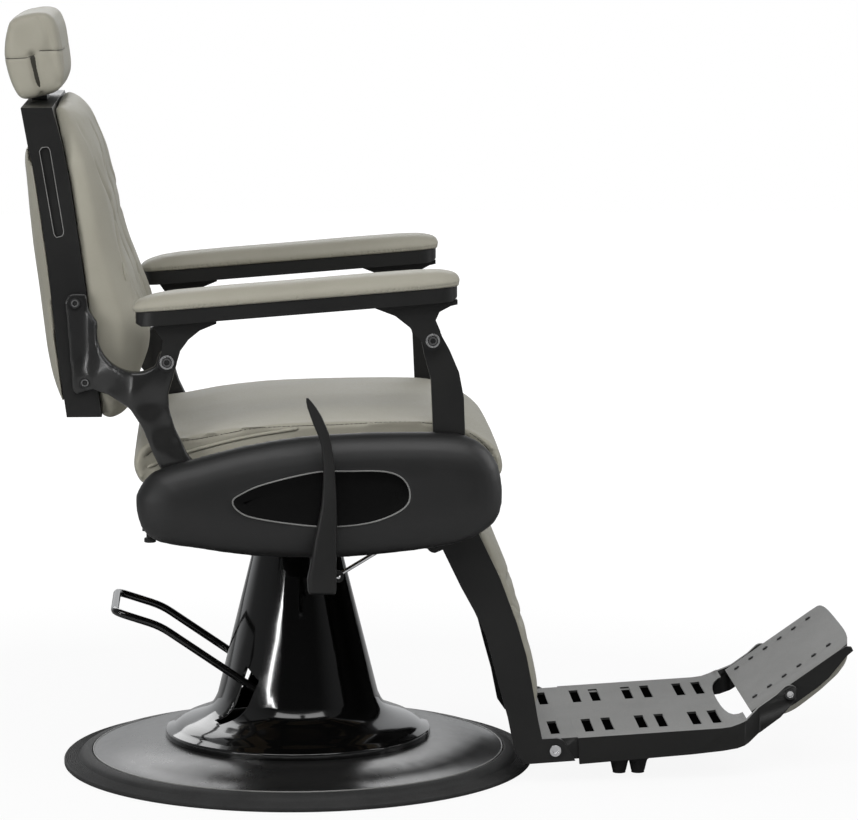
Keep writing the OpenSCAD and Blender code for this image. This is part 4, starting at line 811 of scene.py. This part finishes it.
SHOWN = {
    "base_plate": (BASE, 0.0012), "column_cover": (GLOSS, 0), "pump_pedal": (GLOSS, 0),
    "left_side_shell": (SHELL, 0), "right_side_shell": (SHELL, 0),
    "left_shell_inset": (INSET, 0), "right_shell_inset": (INSET, 0),
    "left_side_plate": (FRAME, 0.0008), "right_side_plate": (FRAME, 0.0008),
    "swivel_plate": (FRAME, 0.001), "mount_rails": (FRAME, 0.001), "front_cross_tube": (FRAME, 0.001),
    "rear_cross_tube": (FRAME, 0.001), "lift_ram": (CHROME, 0.0008),
    "rear_stop_bracket": (FRAME, 0.001), "lever_bracket": (FRAME, 0.001),
    "back_frame": (FRAME, 0.0022), "left_back_casting": (CAST, 0.0022), "right_back_casting": (CAST, 0.0022),
    "back_bolts": (BACK_BOLT, 0.0005), "back_crossbar": (FRAME, 0.0008),
    "headrest_socket": (FRAME, 0.0008), "headrest_stem": (CHROME, 0.0008),
    "left_front_strut": (FRAME, 0.0028), "right_front_strut": (FRAME, 0.0028),
    "left_arm_rail": (FRAME, 0.0016), "right_arm_rail": (FRAME, 0.0016),
    "left_arm_bolts": (ARM_BOLT, 0.0005), "right_arm_bolts": (ARM_BOLT, 0.0005),
    "leg_frame": (FRAME, 0.0012), "leg_links": (FRAME, 0.001),
    "footplate": (FLANGE, 0.0011), "foot_hinge_bolts": (CHROME, 0.0006), "foot_bumpers": (BUMPER, 0.0015),
    "toe_plate": (FLANGE, 0), "toe_bolts": (TOE_BOLT, 0.0006),
    "recline_lever": (FRAME, 0), "lever_shaft": (FRAME, 0.0006), "release_rod": (CHROME, 0),
    "release_arm": (FRAME, 0.0006), "gas_spring_cylinder": (FRAME, 0.0008), "gas_spring_rod": (CHROME, 0.0005),
    "gas_anchor": (FRAME, 0.0008),
}
SKIN = {}
for node, (mat, bevel) in SHOWN.items():
    if node.endswith("side_shell"):
        SKIN[node] = remeshed(node, mat)
    elif node.endswith("back_casting"):
        SKIN[node] = remeshed(node, mat, voxel=0.0026, rounds=4)
    else:
        SKIN[node] = dress(node, mat, bevel)


def two_tone(node, mat, up, limit, dark=None):
    """Faces that look along `up` take the second finish."""
    me = SKIN[node].data
    me.materials.append(mat)
    up = Vector(up).normalized()
    for p in me.polygons:
        if p.normal.dot(up) > limit and not (dark and dark(p.center)):
            p.material_index = 1


# ---- cast hollows and swells on the outer faces of the back castings: (x, z, radius, rise)
RELIEF = [(-0.2785, 0.575, 0.020, 0.0035), (-0.224, 0.556, 0.022, 0.0040), (-0.258, 0.562, 0.014, -0.0035),
          (-0.197, 0.543, 0.017, -0.0040), (-0.176, 0.512, 0.016, -0.0035), (-0.212, 0.522, 0.018, 0.0030),
          (-0.186, 0.478, 0.018, 0.0030), (-0.165, 0.487, 0.012, -0.0030)]
for side, tag in SIDES:
    me = SKIN[tag + "_back_casting"].data
    co, no = coords(me), normals(me)
    face = np.clip((no[:, 1] * side - 0.35) / 0.4, 0, 1)
    rise = np.zeros(len(co))
    for x, z, r, h in RELIEF:
        rise += h * np.exp(-((co[:, 0] - x) ** 2 + (co[:, 2] - z) ** 2) / r ** 2)
    put(me, co + np.array((0, side, 0)) * (rise * face)[:, None])
    relax(me, 2)


def plate_axes(degrees):
    """Directions along and square to a plate that rises forward by an angle."""
    a = math.radians(degrees)
    return Vector((math.cos(a), 0, math.sin(a))), Vector((-math.sin(a), 0, math.cos(a)))


TOE_PIVOT = Vector((0.6775, 0, 0.1173))
tread_u, tread_v = plate_axes(3.3)
toe_v = plate_axes(35)[1]
two_tone("recline_lever", CHROME, (0, 0, -1), 0.75, dark=lambda c: c.z > 0.3)
two_tone("footplate", TREAD, tread_v, 0.5)


def on_stud(c):
    """Whether a point stands over the plate's crowned face."""
    rise = 0.0121 if abs(c.y) < 0.1066 else 0.0
    return rise and (c - TOE_PIVOT).dot(toe_v) > rise


two_tone("toe_plate", TREAD, toe_v, 0.6, dark=on_stud)

# ---- painted shade: matt black strips right under the footplate's two rows of slots, standing in for the shade seen through them
TREAD_AT = Vector((0.332, 0, 0.0605))
SLOT_Y, HALF_ROW = 0.098, 0.045
strips = []
for row in (-1, 1):
    corners = [TREAD_AT + tread_u * u + Vector((0, row * SLOT_Y + w, 0)) + tread_v * v
               for v in (-0.0044, -0.0032)
               for u, w in ((0.010, -HALF_ROW), (0.258, -HALF_ROW), (0.258, HALF_ROW), (0.010, HALF_ROW))]
    strips.append((corners, [(3, 2, 1, 0), (4, 5, 6, 7), (0, 1, 5, 4), (1, 2, 6, 5), (2, 3, 7, 6), (3, 0, 4, 7)]))
v, f = merge(strips)
add("painted_slot_shade_strips", mesh_of("painted_slot_shade_strips", v, f), SLOT_SHADE, BODY["footplate"], smooth=False)

# ---- rubber feet of the bumpers, tapered over the CAD's straight studs
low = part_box("foot_bumpers")[0][2]
studs = {}
for v in NODES["foot_bumpers"].data.vertices:
    if v.co.z < low + 0.0002:
        key = next((k for k in studs if (Vector(k) - v.co).length < 0.021), tuple(v.co))
        studs.setdefault(key, []).append(v.co.copy())
FOOT_SIDE = [(0.0, 0.0), (0.0055, 0.0), (0.0082, 0.0010), (0.0096, 0.0034), (0.0106, 0.0080), (0.0122, 0.0150),
             (0.0142, 0.0205), (0.0146, 0.0240), (0.0, 0.0240)]
feet = []
for ring in studs.values():
    mid = sum(ring, Vector()) / len(ring)
    feet.append(turned([(r, h + 0.0001) for r, h in FOOT_SIDE], mid, (0, 0, 1), 40))
v, f = merge(feet)
rubber_feet = add("bumper_feet", mesh_of("bumper_feet", v, f), BUMPER, BODY["foot_bumpers"])
rubber_feet.data.set_sharp_from_angle(angle=math.radians(50))

# ---- rubber rim with fine ridges, and inside it a light grey ring, a painted highlight along the rim's inner edge
ridges = []
r, z = 0.3288, 0.0072
while r > 0.3105:
    for f, h in ((0.0, 0.0), (0.22, 0.0009), (0.5, 0.0013), (0.78, 0.0009)):
        ridges.append((r - f * 0.0026, z + h))
    r -= 0.0026
    z += 0.00028
rim = [(0.2902, 0.0005), (0.3290, 0.0005), (0.3300, 0.0015), (0.3300, 0.0060), (0.3295, 0.0069)] + ridges + [
    (r, z), (0.3090, 0.0100), (0.3075, 0.0122), (0.3058, 0.0146), (0.3030, 0.0164), (0.2990, 0.0178),
    (0.2945, 0.0187), (0.2915, 0.0189), (0.2905, 0.0184), (0.2902, 0.0172)]
v, f = lathe(rim)
rim_ob = add("base_rim_ridged", mesh_of("base_rim_ridged", v, f), RUBBER, "base")
rim_ob.data.set_sharp_from_angle(angle=math.radians(50))
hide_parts("base_rim")
v, f = lathe([(0.2896, 0.0174), (0.2896, 0.0192), (0.2890, 0.0198), (0.2882, 0.0199), (0.2874, 0.0192),
              (0.2872, 0.0174)])
add("base_rim_highlight_ring", mesh_of("base_rim_highlight_ring", v, f), EDGE_HIGHLIGHT, "base")

# ---- painted highlight: a bright line round each shell's oval, along its chamfered rim
OVAL = [(-91, -13), (-81, -4.5), (-50, 9), (17, 24.5), (65, 26), (112, 25), (136, 15), (145, -6), (136, -25),
        (98, -42), (47, -48.5), (-3, -45.5), (-64, -35.5), (-85, -25)]
for side, tag in SIDES:
    ring = catmull([Vector((x / 1000, 0, 0.430 + z / 1000)) for x, z in OVAL], 6, closed=True)
    ring = even(ring, 0.005, closed=True)
    both = [tree_of(SKIN[tag + "_side_shell"]), tree_of(SKIN[tag + "_shell_inset"])]
    pts = []
    for p in ring:
        ys = []
        for dx, dz in ((0, 0), (0.002, 0), (-0.002, 0), (0, 0.002), (0, -0.002)):
            for t in both:
                hit = t.ray_cast(Vector((p.x + dx, side * OUTSIDE, p.z + dz)), Vector((0, -side, 0)))
                if hit[0] is not None:
                    ys.append(abs(hit[0].y))
        pts.append(Vector((p.x, side * (max(ys) - 0.0004), p.z)))
    m = len(pts)
    for _ in range(4):
        pts = [Vector((p.x, (pts[i - 1].y + p.y * 2 + pts[(i + 1) % m].y) / 4, p.z)) for i, p in enumerate(pts)]
    out = [Vector((0, side, 0))] * m
    trim(tag + "_inset_highlight_line", [tube(pts, 0.0011, closed=True, sides=8, normals=out)], EDGE_HIGHLIGHT, "seat")

# ---- raised lip round the frame's long groove, painted light grey as a highlight along the groove's edge
GROOVE = [(-0.344, 0.876), (-0.341, 0.881), (-0.333, 0.882), (-0.330, 0.878), (-0.313, 0.768), (-0.315, 0.763),
          (-0.323, 0.761), (-0.326, 0.765)]
for side, tag in SIDES:
    lip = even([Vector((x, side * 0.2149, z)) for x, z in GROOVE], 0.003, closed=True)
    trim(tag + "_groove_lip", [tube(lip, 0.0006, closed=True, sides=8, normals=[Vector((0, side, 0))] * len(lip))],
         EDGE_HIGHLIGHT, "back")

# ---------------------------------------------------------------- upholstery
SEAT_Z = 0.430


def table_at(rows, x):
    return float(np.interp(x, [r[0] for r in rows], [r[1] for r in rows]))


def both_sides(ob, points, least):
    """A side seam of (x, z) points laid on the left and on the right face."""
    bvh = tree_of(ob)
    found = [on_side(bvh, curve2(points), side, least) for side, _ in SIDES]
    return [f for f in found if len(f[0]) > 3]


def evened(p, rounds=6):
    """A line with its small kinks averaged out."""
    for _ in range(rounds):
        p = [p[0]] + [(a + 2 * b + c) / 4 for a, b, c in zip(p, p[1:], p[2:])] + [p[-1]]
    return p


def beside(ob, points, y, slope=0.13):
    """A line of (x, z) points at the given distance from the middle, laid on both sides by slanting rays."""
    bvh = tree_of(ob)
    lines = []
    for side, _ in SIDES:
        hits = []
        for p in even([Vector((x, 0, z)) for x, z in curve2(points)], SEAM_GAP):
            start = Vector((p.x, side * OUTSIDE, p.z + slope * (OUTSIDE - y)))
            hit = bvh.ray_cast(start, Vector((0, -side, -slope)).normalized())
            if hit[0] is not None:
                hits.append(hit[0])
        found = [bvh.find_nearest(q) for q in evened(hits, 14)]
        lines.append(([hit[0] for hit in found], [hit[1] for hit in found]))
    return lines


def seam(ob, tag, points, depth, width, shade=0.0, thread=False, piping=0.0, y=None, flat=1.0, least=0.0):
    """Seam in both side faces: pressed in, with a shadow line, and stitches or piping along it."""
    lines = beside(ob, points, y) if y else both_sides(ob, points, least)
    lines = [(evened(p), n) for p, n in lines]
    crease(ob, [p for p, _ in lines], width, depth, pucker=0.0002 if y else 0.0006)
    lines = [([a - b * (depth * SUNK) for a, b in zip(p, n)], n) for p, n in lines]
    body = ob["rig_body"]
    if shade:
        trim(tag + "_line", [tube(p, shade, sides=8, normals=n, flat=flat) for p, n in lines], SEAM, body)
    if piping:
        trim(tag + "_piping", [tube([a + b * piping * 0.35 for a, b in zip(p, n)], piping, sides=10, normals=n)
                               for p, n in lines], PIPING, body)
    if thread:
        trim(tag + "_stitches", [part for p, n in lines for part in stitches(p, n)], THREAD, body)


# ---- seat
seat = soft("seat_cushion", voxel=0.006, shrink=0.0015, cap=0.0035, smooth=3,
            hold=hold_low(SEAT_Z + 0.0015))
SEAT_SEAM = [(-0.206, 0.470), (-0.190, 0.484), (-0.169, 0.489), (-0.126, 0.495), (-0.064, 0.507), (-0.009, 0.510),
             (0.046, 0.5115), (0.120, 0.515), (0.172, 0.514), (0.205, 0.509), (0.228, 0.500), (0.247, 0.484),
             (0.259, 0.468), (0.266, 0.452)]
seam(seat, "seat_side_seam", SEAT_SEAM, depth=0.0012, width=0.0024, shade=0.0004, thread=True, y=0.250)
SEAT_LOW = [(-0.205, 0.455), (-0.190, 0.462), (-0.148, 0.4765), (-0.077, 0.4945), (-0.002, 0.5065)]
seam(seat, "seat_welt", SEAT_LOW, depth=0.0010, width=0.0030, piping=0.0024, y=0.250)

# ---- back cushion
back = soft("back_cushion", voxel=0.006, shrink=0.0015, cap=0.0035, smooth=3,
            hold=hold_facing((-0.99, 0, -0.1), 0.8))
quilt(back, (0, 0, 1), (0, 1, 0), (1, 0, 0.1), pitch=0.124, rise=0.180, depth=0.0042, width=0.0055, origin=0.61,
      inset=lambda co: np.clip((0.176 - np.abs(co[:, 1])) / 0.012, 0, 1) * np.clip((0.915 - co[:, 2]) / 0.03, 0, 1)
      * np.clip((co[:, 2] - 0.545) / 0.03, 0, 1))
BACK_FOLDS = [
    [(-0.3100, 0.9480), (-0.2884, 0.9370), (-0.2790, 0.9230), (-0.2762, 0.9013), (-0.2705, 0.8772), (-0.2640, 0.8571),
     (-0.2569, 0.8282), (-0.2526, 0.8062), (-0.2485, 0.7793), (-0.2421, 0.7484), (-0.2379, 0.7309), (-0.232, 0.700)],
    [(-0.2706, 0.9040), (-0.2658, 0.8840), (-0.2592, 0.8620), (-0.2529, 0.8378), (-0.2450, 0.8041), (-0.2424, 0.7866),
     (-0.2361, 0.7595), (-0.2317, 0.7379), (-0.224, 0.700), (-0.216, 0.660)]]
seam(back, "back_side_piping", BACK_FOLDS[0], depth=0.0006, width=0.0030, piping=0.0016, least=0.165)
seam(back, "back_side_fold", BACK_FOLDS[1], depth=0.0012, width=0.0060, least=0.165)

# ---- back cover
soft("back_cover", voxel=0.006, shrink=0.001, cap=0.003, smooth=3,
     hold=hold_facing((0.99, 0, 0.1), 0.75))


def inward(bvh, centre, loop):
    """The piece's surface where rays from a loop outside it run to the point that centre gives."""
    found, norm = [], []
    for q in loop:
        c = Vector(centre(q))
        hit = bvh.ray_cast(q + (q - c) * 0.5, (c - q).normalized())
        if hit[0] is not None:
            found.append(hit[0])
            norm.append(hit[1])
    return found, norm


def ring_seam(ob, name, centre, loop, depth, width, shade=0.0):
    """A closed seam round a soft piece: pressed in, with a fine shadow line."""
    p, n = inward(tree_of(ob), centre, loop)
    crease(ob, [p], width, depth, pucker=0.0003)
    p = [a - b * (depth * RING_SUNK) for a, b in zip(p, n)]
    if shade:
        trim(name, [tube(p, shade, closed=True, sides=6, normals=n)], SEAM, ob["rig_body"])


# ---- headrest
head = soft("headrest_cushion", voxel=0.0045, shrink=0.001, cap=0.0025, smooth=3)
SLIT = [(-0.3560, 0.9988), (-0.3536, 0.9838), (-0.3498, 0.9663), (-0.3433, 0.9461), (-0.3405, 0.9340)]
seam(head, "headrest_slit", SLIT, depth=0.0060, width=0.0056, shade=0.0050, flat=0.25)
BAND = [(-0.3452, 1.0481), (-0.3389, 1.0382), (-0.3327, 1.0205), (-0.3313, 1.0012), (-0.3282, 0.9918),
        (-0.3235, 0.9770), (-0.3190, 0.9640)]
seam(head, "headrest_band", BAND, depth=0.0030, width=0.0060)


def around(z_of, x0, x1, half, power=0.35, n=120):
    """Closed loop round a block, at the height z_of gives for each x."""
    out = []
    for k in range(n):
        a = 2 * math.pi * k / n
        c, s = math.cos(a), math.sin(a)
        x = (x0 + x1) / 2 + (x1 - x0) / 2 * math.copysign(abs(c) ** power, c)
        out.append(Vector((x, half * math.copysign(abs(s) ** power, s), z_of(x))))
    return out


SEAM_Z = [(-0.42, 0.9940), (-0.3845, 0.9956), (-0.3604, 0.9964), (-0.3506, 1.0012), (-0.3345, 1.0060), (-0.30, 1.006)]
ring_seam(head, "headrest_seam_line", lambda q: (-0.355, 0.8 * q.y, q.z),
          around(lambda x: table_at(SEAM_Z, x), -0.410, -0.300, 0.145), depth=0.0010, width=0.0022, shade=0.0004)

# ---- arm pads
RAIL_SLOPE = 26.8 / 352.5


def rail_top(x):
    return 0.671 + (x + 0.1766) * RAIL_SLOPE


ARM_Y = 0.267
for side, tag in SIDES:
    pad = soft(tag + "_arm_pad", voxel=0.0042, shrink=0.0005, cap=0.002, smooth=2,
               hold=lambda co, no: np.clip((-no[:, 2] - 0.6) * 4, 0, 1))
    loop = [Vector((q.x, q.y + side * ARM_Y, rail_top(q.x) + 0.0035))
            for q in around(lambda x: 0, -0.240, 0.232, 0.055, power=0.4, n=200)]
    ring_seam(pad, tag + "_pad_seam_line", lambda q, s=side: (max(-0.19, min(0.18, q.x)), s * ARM_Y, q.z), loop,
              depth=0.0010, width=0.0018)

# ---- calf pad
calf = soft("calf_pad", voxel=0.0055, shrink=0.001, cap=0.002, smooth=3,
            hold=hold_facing((-0.94, 0, -0.33), 0.75))
CHANNELS = [[(0.262, 0.297), (0.268, 0.296), (0.276, 0.2917), (0.286, 0.286), (0.292, 0.281)],
            [(0.290, 0.248), (0.2942, 0.2456), (0.2998, 0.2400), (0.3039, 0.2301), (0.308, 0.224)]]
for k, ends in enumerate(CHANNELS):
    z = ends[-1][1]
    front = []
    for y in np.arange(-0.150, 0.1501, 0.005):
        hit = tree_of(calf).ray_cast(Vector((OUTSIDE, y, z)), Vector((-1, 0, 0)))
        if hit[0] is not None:
            front.append(hit[0])
    crease(calf, [front], 0.0060, 0.0050)
    seam(calf, f"calf_seam_{k + 1}", ends, depth=0.0016, width=0.0024, shade=0.0004)

# ---- toe pad
soft("toe_pad", voxel=0.005, shrink=0.001, cap=0.002, smooth=3,
     hold=hold_facing(tuple(toe_v), 0.75))


# ---------------------------------------------------------------- floor and light
def area(name, at, to, size, power):
    data = bpy.data.lights.new(name, "AREA")
    data.shape = "RECTANGLE"
    data.size, data.size_y = size
    data.energy = power
    ob = bpy.data.objects.new(name, data)
    scene.collection.objects.link(ob)
    ob.location = at
    ob.rotation_euler = (Vector(to) - Vector(at)).to_track_quat("-Z", "Y").to_euler()
    return ob


key = area("key", (0.3, -3.2, 2.4), (0.1, 0, 0.5), (2.0, 2.0), 46)
key.visible_glossy = False
# A wide slim lamp whose reflection lies along the upper part of the shells
area("band", (0.1, -2.2, 3.0), (0.1, 0, 0.5), (3.8, 1.3), 52)
fill = area("fill", (-3.2, -2.6, 1.7), (0, 0, 0.5), (1.6, 2.4), 70)
fill.visible_glossy = False
# A slim tilted strip whose reflection runs down the column
ends = Vector((-1.30, -2.15, 0.96)), Vector((-2.12, -1.34, 0.52))
strip = area("strip", (ends[0] + ends[1]) / 2, (0, 0, 0.25), (0.06, (ends[0] - ends[1]).length), 7)
along = (ends[0] - ends[1]).normalized()
out = (strip.location - Vector((0, 0, 0.25))).normalized()
out = (out - along * out.dot(along)).normalized()
strip.rotation_euler = Matrix((along.cross(out), along, out)).transposed().to_euler()
area("side", (3.0, -0.2, 1.8), (0, 0, 0.6), (1.4, 2.2), 36)
area("back_light", (-0.6, 3.2, 2.4), (0, 0, 0.6), (3.0, 2.0), 40)

world = bpy.data.worlds.new("studio")
scene.world = world
world.use_nodes = True
wn = world.node_tree


def world_ramp(out, lo, hi, gain, plus=None):
    """gain times a smooth step of a component of the direction, added to what plus gives."""
    r = wn.nodes.new("ShaderNodeMapRange")
    r.interpolation_type = "SMOOTHSTEP"
    for key, value in (("From Min", lo), ("From Max", hi), ("To Min", 0.0), ("To Max", gain)):
        r.inputs[key].default_value = value
    wn.links.new(out, r.inputs["Value"])
    m = wn.nodes.new("ShaderNodeMath")
    m.operation = "ADD"
    wn.links.new(r.outputs["Result"], m.inputs[0])
    if plus is None:
        m.inputs[1].default_value = DARK_FRONT
    else:
        wn.links.new(plus, m.inputs[1])
    return m.outputs[0]


# The studio is dark behind the camera and lit from its sides, from above and from behind the object
DARK_FRONT = 0.04
where = wn.nodes.new("ShaderNodeTexCoord")
axes = wn.nodes.new("ShaderNodeSeparateXYZ")
wn.links.new(where.outputs["Generated"], axes.inputs[0])
flank = wn.nodes.new("ShaderNodeMath")
flank.operation = "ABSOLUTE"
wn.links.new(axes.outputs["X"], flank.inputs[0])
level = world_ramp(flank.outputs[0], 0.45, 0.95, 0.16)
level = world_ramp(axes.outputs["Z"], 0.35, 0.95, 0.16, level)
level = world_ramp(axes.outputs["Y"], 0.20, 0.85, 0.75, level)
bg = wn.nodes["Background"]
path = wn.nodes.new("ShaderNodeLightPath")
white = wn.nodes.new("ShaderNodeBackground")
white.inputs["Color"].default_value = (1, 1, 1, 1)
bg.inputs["Color"].default_value = (0.97, 0.985, 1.0, 1)
wn.links.new(level, bg.inputs["Strength"])
blend = wn.nodes.new("ShaderNodeMixShader")
wn.links.new(path.outputs["Is Camera Ray"], blend.inputs[0])
wn.links.new(bg.outputs[0], blend.inputs[1])
wn.links.new(white.outputs[0], blend.inputs[2])
wn.links.new(blend.outputs[0], wn.nodes["World Output"].inputs["Surface"])

bm = bmesh.new()
bmesh.ops.create_grid(bm, x_segments=2, y_segments=2, size=9.0)
floor_mesh = bpy.data.meshes.new("floor")
bm.to_mesh(floor_mesh)
bm.free()
floor = bpy.data.objects.new("floor", floor_mesh)
scene.collection.objects.link(floor)
floor.location.z = -0.0004
fs = Shader("floor", Roughness=0.9, Specular_IOR_Level=0.0, Base_Color=(0.42, 0.42, 0.42, 1))
far = fs.new("ShaderNodeVectorMath")
far.operation = "LENGTH"
fs.link(fs.coord.outputs["Object"], far.inputs[0])
glow = fs.new("ShaderNodeEmission")
fs.link(fs.span(far.outputs["Value"], 1.06, 1.30, 0.87, 3.0), glow.inputs["Strength"])
lp = fs.new("ShaderNodeLightPath")
amount = fs.new("ShaderNodeMath")
amount.operation = "MULTIPLY"
fs.link(lp.outputs["Is Camera Ray"], amount.inputs[0])
amount.inputs[1].default_value = 0.86
mixer = fs.new("ShaderNodeMixShader")
fs.link(amount.outputs[0], mixer.inputs[0])
fs.link(fs.bsdf.outputs[0], mixer.inputs[1])
fs.link(glow.outputs[0], mixer.inputs[2])
fs.link(mixer.outputs[0], fs.nt.nodes["Material Output"].inputs["Surface"])
floor_mesh.materials.append(fs.mat)

scene.view_settings.view_transform = "Standard"
